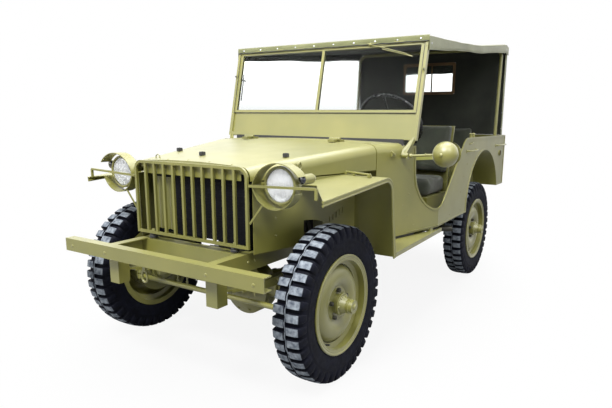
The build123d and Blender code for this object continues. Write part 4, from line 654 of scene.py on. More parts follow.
def make_curtain():
    """The rear curtain, hung from the bow, wrapped round the corners and cut for its window."""
    # across: share of the half-width, and how far round the corner; a grid line falls on each side of the window
    edge = WINDOW[0] / CURTAIN_HALF
    stations = ([(-1, wrap) for wrap in spread(1, 0, 10)]
                + [(copysign(edge, side) if abs(abs(side) - edge) <= 0.011 else side, 0)
                   for side in spread(-1, 1, 96)[1:-1]]
                + [(1, wrap) for wrap in spread(0, 1, 10)])
    rows = []
    for z in sorted({*spread(CURTAIN_LOW, CURTAIN_HIGH, 56), *WINDOW[1:]}):
        wrap_reach = 0.03 + 0.014 * (z - CURTAIN_LOW) / (CURTAIN_HIGH - CURTAIN_LOW)
        row = []
        for side, wrap in stations:
            x = side * CURTAIN_HALF
            ease = min(1.0, max(abs(x) - WINDOW[0], WINDOW[1] - z, z - WINDOW[2], 0.0) / 0.05)
            ripple = (fold((x, 0, z), (4.0, 0, 1.6), 0.006, 2.0) + fold((x, 0, z), (13.0, 0, 2.0), 0.0022, 9.0)) * ease
            y = CURTAIN_Y + min(0.0, ripple - 0.002 * ease)
            if wrap or abs(side) == 1:
                y = CURTAIN_Y - wrap * wrap_reach - 0.004
                x = side * (CURTAIN_HALF + min(0.0, fold((0, y, z), (0, 9.0, 3.0), 0.006, 5.0) - 0.001) * wrap)
            row.append(Vector((x, y, z)))
        rows.append(row)
    half = WINDOW[0] + 1e-4

    def in_window(row, column):
        a, b = rows[row][column], rows[row + 1][column + 1]
        return (abs(a.x) < half and abs(b.x) < half and min(a.z, b.z) > WINDOW[1] - 1e-4
                and max(a.z, b.z) < WINDOW[2] + 1e-4)

    # the curtain's inner side takes the darker canvas copy, which is painted shade
    curtain = make_cloth("curtain_canvas", rows, CANVAS_THICKNESS, [canvas_cloth, canvas_painted_shade], in_window)
    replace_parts(curtain, "rear_curtain")


def make_window_binding():
    """Folded binding sewn round the rear window."""
    shape = Shape()
    outer_half, low, high = WINDOW[0] + 0.004, WINDOW[1] - 0.004, WINDOW[2] + 0.004
    width = 0.026
    rounds = []
    # round the binding's section: how far in from its outer edge, and how far behind the curtain's face
    for inset, lift in ((0, -0.0012), (0.001, 0.0004), (0.005, 0.001), (width - 0.005, 0.001), (width - 0.001, 0.0002),
                        (width, -0.002), (width - 0.002, -0.0046), (0.001, -0.0046)):
        half = outer_half - inset
        corner = max(0.006, 0.02 - inset * 0.5)
        ring = []
        for start, (way, z) in enumerate(((1, high - inset - corner), (-1, high - inset - corner),
                                          (-1, low + inset + corner), (1, low + inset + corner))):
            for turn in spread(pi / 2 * start, pi / 2 * (start + 1), 6):
                ring.append((way * (half - corner) + corner * cos(turn), CURTAIN_Y + lift, z + corner * sin(turn)))
        rounds.append(ring)
    shape.grid(rounds, close_rows=True, close_ring=True)
    obj = shape.piece("window_binding", "window_binding")
    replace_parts(obj, "curtain_window")


def make_straps():
    """The two webbing straps across the doorways, each sagging between its ends."""
    strap_z = 0.962
    for side, name in ((1, "left"), (-1, "right")):
        start, bend, stop = at(side, (0.6215, -0.179, strap_z), (0.694, 0.09, strap_z), (0.694, 0.52, strap_z))
        path = []
        rows = []
        for share in spread(0, 1, 60):
            y = start.y + share * (stop.y - start.y)
            x = start.x + (bend.x - start.x) * min(1.0, (y - start.y) / (bend.y - start.y))
            point = Vector((x - side * 0.0012, y, strap_z - 0.006 * sin(pi * share)))
            tilt = 0.0016 * sin(5 * share)
            path.append(point)
            rows.append([point + Vector((side * tilt * k / 3, 0, k * 0.0045)) for k in range(-3, 4)])
        obj = make_cloth(f"strap_{name}", rows, 0.0016, [webbing])
        if side == 1:
            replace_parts(obj, "safety_straps")
        # stitched end tabs and hooks
        shape = Shape()
        for way, end in ((1, path[1]), (-1, path[-2])):
            shape.block(end + Vector((0, way * 0.006, 0)), (0.0045, 0.022, 0.029), 0.0015)
            shape.head_each([end + Vector((-side * 0.0018, way * 0.006, dz)) for dz in (-0.007, 0.007)],
                            (-side, 0, 0), 0.003, 0.0016, 10)
            shape.tube([end + Vector((0, way * dy, dz)) for dy, dz in (
                (0.014, -0.012), (0.03, -0.01), (0.036, 0), (0.03, 0.01), (0.014, 0.012))], 0.0022, 8)
        shape.piece(f"strap_ends_{name}", "dark_steel")


roof_rows = make_roof()
make_curtain()
make_window_binding()
make_straps()


# ---- seats: each cushion is blown up by cloth simulation and smoothed -------------------------
PAD_SWELL = 0.011
PAD_VOXEL = 0.009
PAD_FRAMES = 16


def loose_parts(node):
    """Each closed solid of a node, as (points, faces)."""
    made = bmesh.new()
    made.from_mesh(nodes[node].data)
    bmesh.ops.remove_doubles(made, verts=made.verts[:], dist=1e-5)
    bmesh.ops.dissolve_limit(made, angle_limit=radians(1), verts=made.verts[:], edges=made.edges[:])
    seen = set()
    parts = []
    for vertex in made.verts:
        if vertex in seen:
            continue
        group = []
        todo = [vertex]
        seen.add(vertex)
        while todo:
            here = todo.pop()
            group.append(here)
            for edge in here.link_edges:
                other = edge.other_vert(here)
                if other not in seen:
                    seen.add(other)
                    todo.append(other)
        numbers = {point: index for index, point in enumerate(group)}
        faces = [[numbers[point] for point in face.verts] for face in made.faces if face.verts[0] in numbers]
        parts.append(([point.co.copy() for point in group], faces))
    made.free()
    return parts


def fill_pad(obj):
    """Pressure swells the cushion like a filled cloth bag, up to the cap."""
    start_points = [vertex.co.copy() for vertex in obj.data.vertices]
    cloth = obj.modifiers.new("cloth", "CLOTH")
    for key, value in {
        "quality": 4, "mass": 0.2, "tension_stiffness": 12, "compression_stiffness": 12, "shear_stiffness": 6,
        "bending_stiffness": 0.6, "use_pressure": True, "uniform_pressure_force": 4,
    }.items():
        setattr(cloth.settings, key, value)
    cloth.settings.effector_weights.gravity = 0
    cloth.collision_settings.use_collision = False
    cloth.point_cache.frame_start = 1
    cloth.point_cache.frame_end = PAD_FRAMES
    for number in range(1, PAD_FRAMES + 1):
        bpy.context.scene.frame_set(number)
    filled = evaluated(obj)
    for vertex, start in zip(filled.vertices, start_points):
        move = vertex.co - start
        if move.length > PAD_SWELL:
            move = move.normalized() * PAD_SWELL
        vertex.co = start + move
    obj.modifiers.clear()
    obj.data = filled
    bpy.context.scene.frame_set(1)


def make_pad(name, points, faces, shrink):
    """A stuffed cushion from a plain solid: rounded, filled by pressure, capped and smoothed."""
    low, high = [Vector(tuple(pick(point[k] for point in points) for k in range(3))) for pick in (min, max)]
    middle = (low + high) / 2
    share = Vector(tuple(1 - 2 * shrink[k] / (high[k] - low[k]) for k in range(3)))
    mesh = bpy.data.meshes.new(name)
    mesh.from_pydata([middle + Vector(tuple((point - middle)[k] * share[k] for k in range(3))) for point in points],
                     [], faces)
    made = bmesh.new()
    made.from_mesh(mesh)
    bmesh.ops.recalc_face_normals(made, faces=made.faces[:])
    sharp = [edge for edge in made.edges if edge.is_manifold and edge.calc_face_angle(0) > radians(35)]
    bmesh.ops.bevel(made, geom=sharp, offset=0.016, segments=3, profile=0.6, affect="EDGES")
    bmesh.ops.triangulate(made, faces=[face for face in made.faces if len(face.verts) > 4])
    made.to_mesh(mesh)
    made.free()
    obj = add_object(name, mesh)
    remesh = obj.modifiers.new("remesh", "REMESH")
    remesh.mode = "VOXEL"
    remesh.voxel_size = PAD_VOXEL
    apply_modifiers(obj)
    fill_pad(obj)
    for vertex in obj.data.vertices:
        point = vertex.co
        ripple = fold(point, (14.0, 14.0, 14.0), 0.0022) + fold(point, (34.0, 34.0, 34.0), 0.0009, 3.0)
        vertex.co = point + (point - middle).normalized() * ripple
    smooth = obj.modifiers.new("smooth", "SMOOTH")
    smooth.factor = 0.5
    smooth.iterations = 3
    split = obj.modifiers.new("split", "SUBSURF")
    split.levels = split.render_levels = 1
    apply_modifiers(obj)
    obj.data.shade_smooth()
    obj.data.materials.clear()
    obj.data.materials.append(seat_cloth)
    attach(obj, "chassis")
    return obj


for kind, shrink in (("seat_cushions", (0.012, 0.012, 0.011)), ("seat_backs", (0.012, 0.011, 0.014))):
    pads = [make_pad(f"{kind[:-1]}_{number}", points, faces, shrink)
            for number, (points, faces) in enumerate(loose_parts(kind), 1)]
    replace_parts(pads[0], kind)


# ---- small fittings --------------------------------------------------------------------------
class Surface:
    """Finds points on CAD nodes, so that fittings seat on them."""

    def __init__(self, *names):
        meshes = [nodes[name].data for name in names]
        self.trees = [BVHTree.FromPolygons([vertex.co for vertex in mesh.vertices],
                                           [polygon.vertices[:] for polygon in mesh.polygons]) for mesh in meshes]

    def hit(self, start, direction):
        """The nearest point along the direction and the normal there, facing the start; None if there is none."""
        best = None
        for tree in self.trees:
            place, normal, _, distance = tree.ray_cast(Vector(start), Vector(direction).normalized())
            if place is not None and (best is None or distance < best[2]):
                best = (place, -normal if normal.dot(Vector(direction)) > 0 else normal, distance)
        return best[:2] if best else None


def add_bolts(shape, surface, places, direction, radius, height):
    """A dome on the surface for each place, looking along the direction."""
    for number, place in enumerate(places):
        found = surface.hit(place, direction)
        if found:
            shape.head(found[0] - found[1] * 0.0004, found[1], radius, height, 14, turn=0.7 * number)


# wheels: five nuts, a bolted hub cap, the rim's lip, and a valve in its slot
NUT_CIRCLE = 0.0655
CAP_END = 0.122
for name, side, axle in WHEELS:
    centre = Vector((side * WHEEL_X, axle, TYRE_RADIUS))
    shape = Shape()
    out = Vector((side, 0, 0))
    for turn in circle(5, radians(20)):
        spot = centre + out * 0.033 + Vector((0, cos(turn), sin(turn))) * NUT_CIRCLE
        shape.head(spot, out, 0.0135, 0.004, 20)
        shape.head(spot + out * 0.003, out, 0.0108, 0.015, 6, 1, turn)
        shape.head(spot + out * 0.017, out, 0.0055, 0.005, 16, 1)
    # flanged hub cap with its ring of bolts and centre nut
    shape.lathe([(0.05, 0.046), (0.056, 0.0515), (0.064, 0.0515), (0.0655, 0.05), (0.0655, 0.0335)], centre, out, 40)
    for turn in circle(6):
        shape.head(centre + out * 0.0655 + Vector((0, cos(turn), sin(turn))) * 0.042, out, 0.0062, 0.006, turn=turn)
    shape.lathe([(CAP_END - back, radius) for back, radius in (
        (0.03, 0.03), (0.028, 0.0335), (0.018, 0.0335), (0.016, 0.03))], centre, out, 36)
    shape.head(centre + out * (CAP_END - 0.002), out, 0.02, 0.006, 20)
    shape.head(centre + out * (CAP_END + 0.001), out, 0.012, 0.0048)
    # rolled lip and the ridge on the bead slope
    shape.lathe([(0.0656, 0.2284), (0.0684, 0.2286), (0.0704, 0.2262), (0.0704, 0.2222), (0.0684, 0.219),
                 (0.0668, 0.2165), (0.0676, 0.2135), (0.0672, 0.2105), (0.066, 0.2085)], centre, out, 120)
    shape.piece(f"hub_fittings_{name}", body=f"wheel_{name}", materials=[paint, steel_dark])
    shape = Shape()
    turn = radians(-90 - 34 * side)
    radial = Vector((0, cos(turn), sin(turn)))
    across = out.cross(radial)
    slot = [centre + out * 0.0268 + radial * (0.1905 + 0.0075 * sin(angle)) + across * 0.017 * cos(angle)
            for angle in circle(24)]
    shape.tube(slot, 0.0022, 8, closed=True)
    shape.add(slot, [tuple(range(24))])
    stem = centre + out * 0.028 + radial * 0.1915
    shape.tube([stem + out * reach - radial * bend for reach, bend in (
        (0, 0), (0.01, 0), (0.02, 0.003), (0.032, 0.006))], 0.0042, 12)
    shape.piece(f"valve_{name}", "tyre_rubber", f"wheel_{name}", materials=[rubber_part])

# headlamps: reflector, fluted lens, bezel; markers
lenses, reflectors, bezels, markers = Shape(), Shape(), Shape(), Shape()
dome = [(0.0085 - 0.0085 * share ** 2, 0.069 * share + 0.0002) for share in spread(0, 1, 12)]
inside = [(along - 0.0032, max(0.0002, radius - 0.002)) for along, radius in reversed(dome)]
for side in (1, -1):
    lamp, marker = at(side, (0.495, -1.234, 0.902), (0.597, -1.22, 0.932))
    reflectors.lathe([(-0.0112, 0.0005), (-0.0108, 0.02), (-0.0094, 0.042), (-0.006, 0.06), (-0.001, 0.069)],
                     lamp, FORE, 64)
    lenses.lathe([*dome, (-0.003, 0.069), *inside], lamp, FORE, 96)
    bezels.lathe([(-0.002, 0.0792), (0.003, 0.08), (0.0062, 0.078), (0.007, 0.0745), (0.0058, 0.0705),
                  (0.002, 0.069), (-0.001, 0.0692)], lamp, FORE, 72)
    bezels.head(lamp + Vector((0, -0.004, -0.0785)), (0, -0.35, -1), 0.005, 0.004)
    markers.lathe([(0.0085 - 0.0075 * share ** 2, 0.0172 * share + 0.0002) for share in spread(0, 1, 8)],
                  marker, FORE, 40)
    bezels.lathe([(-0.001, 0.0214), (0.0032, 0.0216), (0.0042, 0.0195), (0.003, 0.0172), (0, 0.017)], marker, FORE, 40)
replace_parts(lenses.piece("headlamp_lenses", "lens_glass", smooth=60), "lamp_lenses")
reflectors.piece("headlamp_reflectors", "lens_glass", smooth=60, materials=[reflector_metal])
bezels.piece("lamp_bezels")
markers.piece("marker_lenses", "lens_glass", smooth=60, materials=[marker_glass])

# hood: rivets, pads, latches, a hook on its far front corner and the bent-down lip along its front edge
hood = Surface("hood")
hood_bits, hood_pads = Shape(), Shape()
add_bolts(hood_bits, hood, [(-0.282 + 0.1313 * k, -1.2405, 2) for k in range(5)], DOWN, 0.0065, 0.0035)
for x, y in ((-0.0635, -1.108), (0.345, -0.99), (-0.345, -0.99)):
    spot = hood.hit((x, y, 2), DOWN)[0]
    hood_pads.block(spot + UP * 0.009, (0.022, 0.026, 0.019), 0.0025)
    hood_pads.head(spot + UP * 0.0184, UP, 0.0045, 0.0018, 12)
for side in (1, -1):
    spot, normal = hood.hit((side * 0.9, -1.0046, 0.958), (-side, 0, 0))
    hood_bits.block(spot + normal * 0.0012, (0.004, 0.044, 0.028), 0.001)
    hood_bits.tube([spot + Vector((side * 0.011, 0.014 * cos(a), 0.005 + 0.017 * sin(a))) for a in circle(20)],
                   0.003, 8, closed=True)
    hood_bits.head_each([spot + normal * 0.003 + BACK * dy for dy in (0.01, -0.01)], normal, 0.003, 0.002, 10)
spot = hood.hit((-0.262, -1.205, 2), DOWN)[0]
hood_bits.tube([spot + Vector((dx, 0, dz)) for dx, dz in (
    (-0.014, -0.001), (-0.012, 0.012), (0, 0.019), (0.012, 0.012), (0.014, -0.001))], 0.0026, 8)
lip = []
for x in spread(-0.322, 0.322, 32):
    top = hood.hit((x, -1.2535, 2), DOWN)[0].z - 0.0012
    lip.append([(x, y, top - drop) for y, drop in (
        (-1.2545, 0), (-1.2558, 0.003), (-1.2558, 0.03), (-1.2543, 0.03), (-1.254, 0.004))])
hood_bits.grid(lip)
hood_bits.piece("hood_fittings", body="hood")
hood_pads.piece("hood_pads", "tyre_rubber", "hood", materials=[rubber_part])

# corrugated baffle in front of the radiator
baffle = Shape()
baffle.grid([[(x, -1.2222 - 0.0042 * cos(tau * (x + 0.27) / 0.036), z) for z in (0.64, 0.7, 0.8, 0.9)]
             for x in spread(-0.2895, -0.1425, 72)])
baffle.piece("radiator_baffle", smooth=60)

# front end: bumper bolts, rubber mounts under the grille, tow eye, bolts along the rails
front_bits, front_rubber = Shape(), Shape()
add_bolts(front_bits, Surface("front_bumper"), both([(0.317, -2, 0.559), (0.56, -2, 0.559)]), BACK, 0.0085, 0.0028)
for x in (0.262, -0.262):
    for z, radius in ((0.5965, 0.019), (0.6085, 0.0165)):
        front_rubber.lathe([(0, 0.0152), (0, radius), (0.0015, radius + 0.0015), (0.0085, radius + 0.0015),
                            (0.01, radius), (0.01, 0.0152)], (x, -1.255, z), UP, 28)
    front_bits.head((x, -1.255, 0.6305), UP, 0.0095, 0.008)
TOW_EYE = Vector((-0.0865, -1.462, 0.479))
front_bits.tube([TOW_EYE + Vector((0.0165 * cos(a), 0, 0.027 * sin(a))) for a in circle(28)], 0.005, 10, closed=True)
front_bits.block(TOW_EYE + UP * 0.042, (0.022, 0.008, 0.03), 0.0015)
add_bolts(front_bits, Surface("side_rails", "cross_members", "leaf_springs"), both([(0.9, y, z) for y, z in (
    (-1.425, 0.572), (-1.425, 0.538), (-1.25, 0.556), (-1.205, 0.556), (-0.56, 0.556), (-0.515, 0.556))]),
    -LEFT, 0.006, 0.004)
front_bits.piece("front_fittings")
front_rubber.piece("grille_mounts", "tyre_rubber", materials=[rubber_part])

# fenders: hold-down rods, rivets at the tips, bolts along the apron's edges
fenders = Surface("front_fenders")
fender_bits = Shape()
for side in (1, -1):
    ends = [fenders.hit(end, DOWN)[0] for end in at(side, (0.5, -0.7, 2), (0.655, -0.751, 2))]
    fender_bits.tube([end + UP * 0.015 for end in ends], 0.0052, 10)
    for end in ends:
        fender_bits.block(end + UP * 0.0085, (0.018, 0.018, 0.017), 0.0022)
        fender_bits.head(end + UP * 0.016, UP, 0.0055, 0.0045)
    fender_bits.block((ends[0] + ends[1]) / 2 + Vector((-side * 0.02, 0.006, 0.005)), (0.014, 0.02, 0.009), 0.002)
    add_bolts(fender_bits, fenders, at(side, (0.69, -1.255, 2), (0.64, -1.25, 2), (0.4, -1.2, 2)), DOWN, 0.0055, 0.003)
    add_bolts(fender_bits, fenders, at(side, *[(0.39, -2, z) for z in (0.66, 0.74, 0.82)]), BACK, 0.005, 0.003)
fender_bits.piece("fender_fittings")

# ---- windshield ------------------------------------------------------------------------------
SHIELD_LEAN = radians(12.8)
SHIELD_FOOT = Vector((0, -0.248, 1.064))
SHIELD_UP = Vector((0, sin(SHIELD_LEAN), cos(SHIELD_LEAN)))
SHIELD_OUT = Vector((0, -cos(SHIELD_LEAN), sin(SHIELD_LEAN)))
shield = Surface("windshield_frame")
shield_bits, shield_dark = Shape(), Shape()


def on_shield(x, up, out=0.0):
    """Point on the windshield's plane: across, up its slope, and out of its front."""
    return SHIELD_FOOT + Vector((x, 0, 0)) + SHIELD_UP * up + SHIELD_OUT * out


def on_frame(x, up, lift):
    """Point just off the frame's front face, or off the plane where the frame is open."""
    found = shield.hit(on_shield(x, up, 0.08), -SHIELD_OUT)
    return (found[0] if found else on_shield(x, up)) + SHIELD_OUT * lift


def bar(shape, places, radius, steps, **options):
    """A tube through places given as for on_shield."""
    shape.tube([on_shield(*place) for place in places], radius, steps, **options)


# the pivoting inner frame's hinge barrels along the top bar
for x in (-0.5, -0.33, 0.33, 0.5):
    bar(shield_bits, [(x - 0.028, 0.551, 0.0022), (x + 0.028, 0.551, 0.0022)], 0.0042, 10)
    shield_bits.head_each([on_shield(x + dx, 0.541, -0.0042) for dx in (-0.018, 0.0, 0.018)],
                          SHIELD_OUT, 0.0026, 0.0014, 10)
for side in (1, -1):
    # latch on the outer post, with its dark knob
    shield_bits.block(on_shield(side * 0.664, 0.385, 0.0012), (0.014, 0.004, 0.03), 0.001)
    bar(shield_dark, [(side * 0.668, 0.388, 0.002), (side * 0.672, 0.39, 0.012)], 0.004, 12)
    # wing nut, boss and clamp where the leg meets the body
    pivot = Vector((side * 0.613, -0.275, 0.98))
    shield_bits.head(pivot + Vector((side * 0.012, 0, 0)), (side, 0, 0), 0.013, 0.01, 20)
    for way in (1, -1):
        wing = at(side, (0.02, 0, 0), (0.03, way * 0.012, way * 0.006), (0.031, way * 0.024, way * 0.014))
        shield_bits.tube([pivot + point for point in wing], 0.0042, 8, flat=0.5)
    shield_bits.block((side * 0.59, -0.35, 0.985), (0.012, 0.05, 0.02), 0.003)
    shield_bits.tube(at(side, (0.598, -0.372, 0.985), (0.612, -0.388, 0.989), (0.612, -0.404, 1.0),
                        (0.602, -0.41, 1.01)), 0.0046, 10)
    # stiffening strap beside the leg
    foot, top = at(side, (0.602, -0.279, 0.985), (0.66, -0.2375, 1.074))
    shield_bits.tube([foot, foot.lerp(top, 0.5) + Vector((side * 0.004, 0, 0)), top], 0.015, 16, flat=0.32, up=BACK)
# seam between the outer and the inner frame, and the rubber channel round each pane
SEAM_X = 0.656
SEAM_LOW = 0.15
SEAM_HIGH = 0.55
corners = ((-SEAM_X, SEAM_LOW), (-SEAM_X, SEAM_HIGH), (SEAM_X, SEAM_HIGH), (SEAM_X, SEAM_LOW), (-SEAM_X, SEAM_LOW))
shield_dark.tube([on_frame(x0 + (x1 - x0) * share, u0 + (u1 - u0) * share, 0.0003)
                  for (x0, u0), (x1, u1) in zip(corners, corners[1:]) for share in spread(0, 1, 24)[:-1]],
                 0.0019, 6, closed=True)
for x in (-0.322, 0.322):
    bar(shield_dark, [(x + dx, up, -0.0066) for dx, up in (
        (-0.3135, 0.1665), (-0.3135, 0.5305), (0.3135, 0.5305), (0.3135, 0.1665))], 0.0026, 8, closed=True)
for side in (1, -1):
    shield_bits.head_each([on_frame(side * 0.6455, up, 0) for up in (0.185, 0.245, 0.305, 0.365, 0.425, 0.485, 0.535)],
                          SHIELD_OUT, 0.003, 0.0016, 10)
    shield_bits.head_each([on_frame(side * 0.6655, up, 0) for up in (0.02, 0.08, 0.14, 0.52)],
                          SHIELD_OUT, 0.0036, 0.002, 10)
# wiper on the driver's pane: a spindle, an arm and a blade with its rubber
top = on_shield(0.318, 0.545, 0.001)
low = on_shield(0.56, 0.478, 0.008)
shield_bits.head(on_shield(0.318, 0.545, -0.004), SHIELD_OUT, 0.011, 0.014, 16)
shield_bits.tube([top + SHIELD_OUT * 0.007, top.lerp(low, 0.35) + SHIELD_OUT * 0.008, low], 0.0026, 8)
bar(shield_bits, [(0.4, 0.515, 0.004), (0.592, 0.464, 0.004)], 0.0036, 8, flat=0.6)
bar(shield_dark, [(0.398, 0.512, 0.0005), (0.594, 0.46, 0.0005)], 0.0028, 6)
# dark cord along the foot of the canvas hem, and the rubber seal between the panel's foot and the cowl
shield_dark.tube([(-0.674, -0.1322, 1.5962), (0.674, -0.1322, 1.5962)], 0.0024, 6)
cowl = Surface("cowl")
seal = []
for x in spread(-0.6, 0.6, 60):
    found = cowl.hit((x, -0.25, 1.3), DOWN)
    low = found[0].z - 0.002 if found else 1.05
    top = max(low + 0.004, 1.0665)
    seal.append([(x, -0.255, low), (x, -0.254, top), (x, -0.245, top), (x, -0.244, low)])
shield_dark.grid(seal, close_ring=True)
shield_dark.add(seal[0], [(0, 1, 2, 3)])
shield_dark.add(seal[-1], [(3, 2, 1, 0)])
# hand wiper hanging inside the far pane
bar(shield_dark, [(-0.626, 0.41, -0.02), (-0.625, 0.33, -0.022), (-0.623, 0.235, -0.02)], 0.0034, 8)
bar(shield_dark, [(-0.629, 0.372, -0.014), (-0.609, 0.366, -0.026)], 0.0046, 10)
shield_bits.piece("windshield_fittings")
shield_dark.piece("windshield_rubber", "tyre_rubber", materials=[rubber_part])

# ---- hem, snaps and stitching ----------------------------------------------------------------
# canvas hem folded over the header, held by ten snaps
hem_rows = []
for x in spread(-0.68, 0.68, 96):
    wave = 0.0012 * sin(x * 37.0) + 0.0008 * sin(x * 83.0)
    hem_rows.append([Vector((x, y, z + wave * share)) for y, z, share in (
        (-0.118, 1.6302, 0), (-0.1262, 1.6296, 0), (-0.1286, 1.627, 0), (-0.129, 1.62, 0), (-0.1296, 1.613, 0),
        (-0.13, 1.606, 0.4), (-0.1304, 1.599, 1))])
hem = make_cloth("roof_hem", hem_rows, 0.0016, [canvas_cloth], flip=True)
snaps = Shape()
for x in spread(-0.63, 0.63, 9):
    snaps.head((x, -0.13, 1.6105), (0, -1, 0.1), 0.0058, 0.0028, 16)
    snaps.head((x, -0.1325, 1.6108), (0, -1, 0.1), 0.003, 0.0014, 12)
for side in (1, -1):
    # snaps on the valance's ends and the rear wraps
    for x, y, z in (*[(0.6828, y, roof_height(y) - 0.045) for y in (-0.095, 1.56)],
                    (0.6735, 1.585, 1.11), (0.6735, 1.585, 1.24)):
        snaps.head((side * x, y, z), (side, 0, 0), 0.0055, 0.0026, 16)
snaps.piece("canvas_snaps", "dark_steel", materials=[steel_bright])

STITCH_PITCH = 0.009
STITCH_LENGTH = 0.0058
STITCH_RADIUS = 0.00062
stitch = Shape()


def sew(path, normal):
    """Short thread stitches laid along a path, standing just off the cloth."""
    normal = Vector(normal)
    along = 0.0
    for a, b in zip(path, path[1:]):
        run = (b - a).length
        way = (b - a).normalized()
        side = way.cross(normal).normalized() * STITCH_RADIUS
        up = normal * STITCH_RADIUS
        while along < run:
            first = a + (b - a) * (along / run) + normal * 0.0006
            last = first + way * STITCH_LENGTH
            stitch.add([first - side, first + side, last + side, last - side, first + up, last + up],
                       [(0, 4, 5, 3), (4, 1, 2, 5), (0, 1, 4), (3, 5, 2)])
            along += STITCH_PITCH
        along -= run


# double rows along the roof's edges, the rear wraps and the hem
for side in (1, -1):
    for column, lift in ((1, 0.004), (2, 0.003)):
        sew([row[column if side < 0 else -1 - column] + Vector((side * 0.0001, 0, lift)) for row in roof_rows[2:-2]],
            (side, 0, 0))
    for offset in (0.006, 0.011):
        sew([Vector((side * 0.675, CURTAIN_Y - 0.034 - 0.014 * share + offset, 1.065 + 0.68 * share))
             for share in spread(0, 1, 20)], (side, 0, 0))
for lift in (0.0035, 0.011):
    sew([Vector((x, -0.1303 + lift * 0.05, 1.6 + lift)) for x in (-0.676, 0.676)], FORE)
stitch.piece("canvas_stitching", "canvas")

# the rolled flap that hangs over the top of the rear window, and the tie across it
flap_rows = []
for x in spread(-0.234, 0.234, 40):
    flap_rows.append([Vector((x, CURTAIN_Y + 0.0006 + 0.0006 * sin(7.2 * share),
                              1.664 - 0.09 * share + 0.0015 * share * sin(40 * x))) for share in spread(0, 1, 8)])
# the flap's inner side takes the darker canvas copy, which is painted shade
flap = make_cloth("window_flap", flap_rows, 0.0014, [canvas_cloth, canvas_painted_shade])
tie_rows = [[(x, CURTAIN_Y - 0.007, z) for x in (0.024, 0.03, 0.036)] for z in (1.66, 1.62, 1.56, 1.5, 1.44, 1.405)]
tie = make_cloth("window_tie", tie_rows, 0.0012, [binding])

# ---- tub, mirror and rear --------------------------------------------------------------------
# grab handles, reflector rings, bolts, loops and socket posts
REFLECTOR = (1.48, 0.915)
tub_bits = Shape()
tub = Surface("tub_side_left", "tub_side_right")
for side in (1, -1):
    out = Vector((side, 0, 0))
    for start, stop, z in ((0.6, 0.795, 0.968), (1.352, 1.6, 0.981)):
        tub_bits.tube(at(side, (0.7005, start, z), (0.7165, start + 0.004, z), (0.7245, start + 0.02, z),
                         (0.7245, stop - 0.02, z), (0.7165, stop - 0.004, z), (0.7005, stop, z)), 0.0055, 10)
        for y in (start, stop):
            tub_bits.block((side * 0.7015, y, z), (0.003, 0.03, 0.026), 0.001)
            tub_bits.head_each([(side * 0.7028, y + way * 0.009, z + way * 0.007) for way in (1, -1)],
                               out, 0.0034, 0.0022, 12)
    tub_bits.lathe([(0, 0.0245), (0.0078, 0.0252), (0.0088, 0.0235), (0.0074, 0.0215)],
                   (side * 0.7002, *REFLECTOR), out, 36)
    add_bolts(tub_bits, tub, [(side * 1.2, y, z) for y, z in (
        (0.3, 0.575), (0.52, 0.575), (-0.15, 0.575), (-0.205, 0.64), (-0.205, 0.76), (-0.205, 0.9),
        (0.62, 0.88), (0.56, 0.8), (0.5, 0.7), (0.72, 0.62), (0.76, 0.72), (0.88, 0.84),
        (1.15, 0.88), (1.33, 0.8), (1.4, 0.7), (1.61, 0.7), (1.61, 0.85), (1.61, 1.0),
    )], -out, 0.0045, 0.0024)
    # footman loop beside the rail's bend
    tub_bits.tube(at(side, (0.701, 0.64, 1.015), (0.711, 0.65, 1.015), (0.711, 0.69, 1.022), (0.701, 0.7, 1.022)),
                  0.0036, 8)
    # socket posts on the rail behind the seats
    for y in (0.7, 0.76):
        post = at(side, (0.69, y, 1.05), (0.69, y, 1.082))
        tub_bits.tube(post, 0.0095, 14)
        tub_bits.head(post[1], UP, 0.012, 0.006, 16)
add_bolts(tub_bits, cowl, both([(1.2, y, z) for y, z in (
    (-0.44, 0.6), (-0.44, 0.7), (-0.44, 0.85), (-0.3, 0.575), (-0.255, 0.7), (-0.255, 0.82), (-0.255, 0.93))]),
    -LEFT, 0.0045, 0.0024)
tub_bits.piece("body_fittings")

# mirror: pivot bolt, clamp and the glass on its rear face
MIRROR = (0.848, -0.1935, 0.995)
mirror = Surface("mirror")
mirror_bits, mirror_glass = Shape(), Shape()
spot, normal = mirror.hit((0.848, -0.6, 0.995), BACK)
mirror_bits.head(spot, normal, 0.0105, 0.006, 20)
mirror_bits.head(spot + normal * 0.005, normal, 0.0055, 0.004)
for x in (0.72, 0.742):
    found = mirror.hit((x, -0.6, 0.993), BACK) or mirror.hit((x, -0.6, 1.0), BACK)
    if found:
        mirror_bits.head(*found, 0.0048, 0.005)
mirror_glass.lathe([(0, 0.0004), (0.0006, 0.03), (0.0004, 0.056)], MIRROR, BACK, 48)
mirror_bits.lathe([(-0.006, 0.0655), (0, 0.065), (0.0014, 0.062), (0.0012, 0.0575), (0, 0.056)], MIRROR, BACK, 60)
mirror_bits.piece("mirror_fittings")
mirror_glass.piece("mirror_glass", "window_glass", smooth=60, materials=[reflector_metal])

# rear: tail-lamp rims and bolts, handles, panel rivets, spare wheel nuts
REAR_Y = 1.63
HANDLE_Z = 0.93
rear_bits = Shape()
for side in (1, -1):
    rear_bits.lathe([(-0.004, 0.0385), (0.0015, 0.039), (0.0032, 0.037), (0.0028, 0.033), (0, 0.032)],
                    (side * 0.59, 1.6745, 0.77), BACK, 48)
    rear_bits.head_each([(side * 0.59, 1.6775, z) for z in (0.7355, 0.8045)], BACK, 0.0028, 0.0016, 10)
    rear_bits.head_each([(side * 0.672, REAR_Y, z) for z in (0.7, 0.84, 0.98)], BACK, 0.005, 0.0026, 14)
    rear_bits.tube(at(side, *[(x, y, HANDLE_Z) for x, y in (
        (0.52, REAR_Y), (0.52, 1.652), (0.512, 1.658), (0.428, 1.658), (0.42, 1.652), (0.42, REAR_Y))]), 0.0058, 10)
    for x in (0.42, 0.52):
        rear_bits.lathe([(0, 0.015), (0.003, 0.0145), (0.0036, 0.006)], (side * x, 1.6302, HANDLE_Z), BACK, 24)
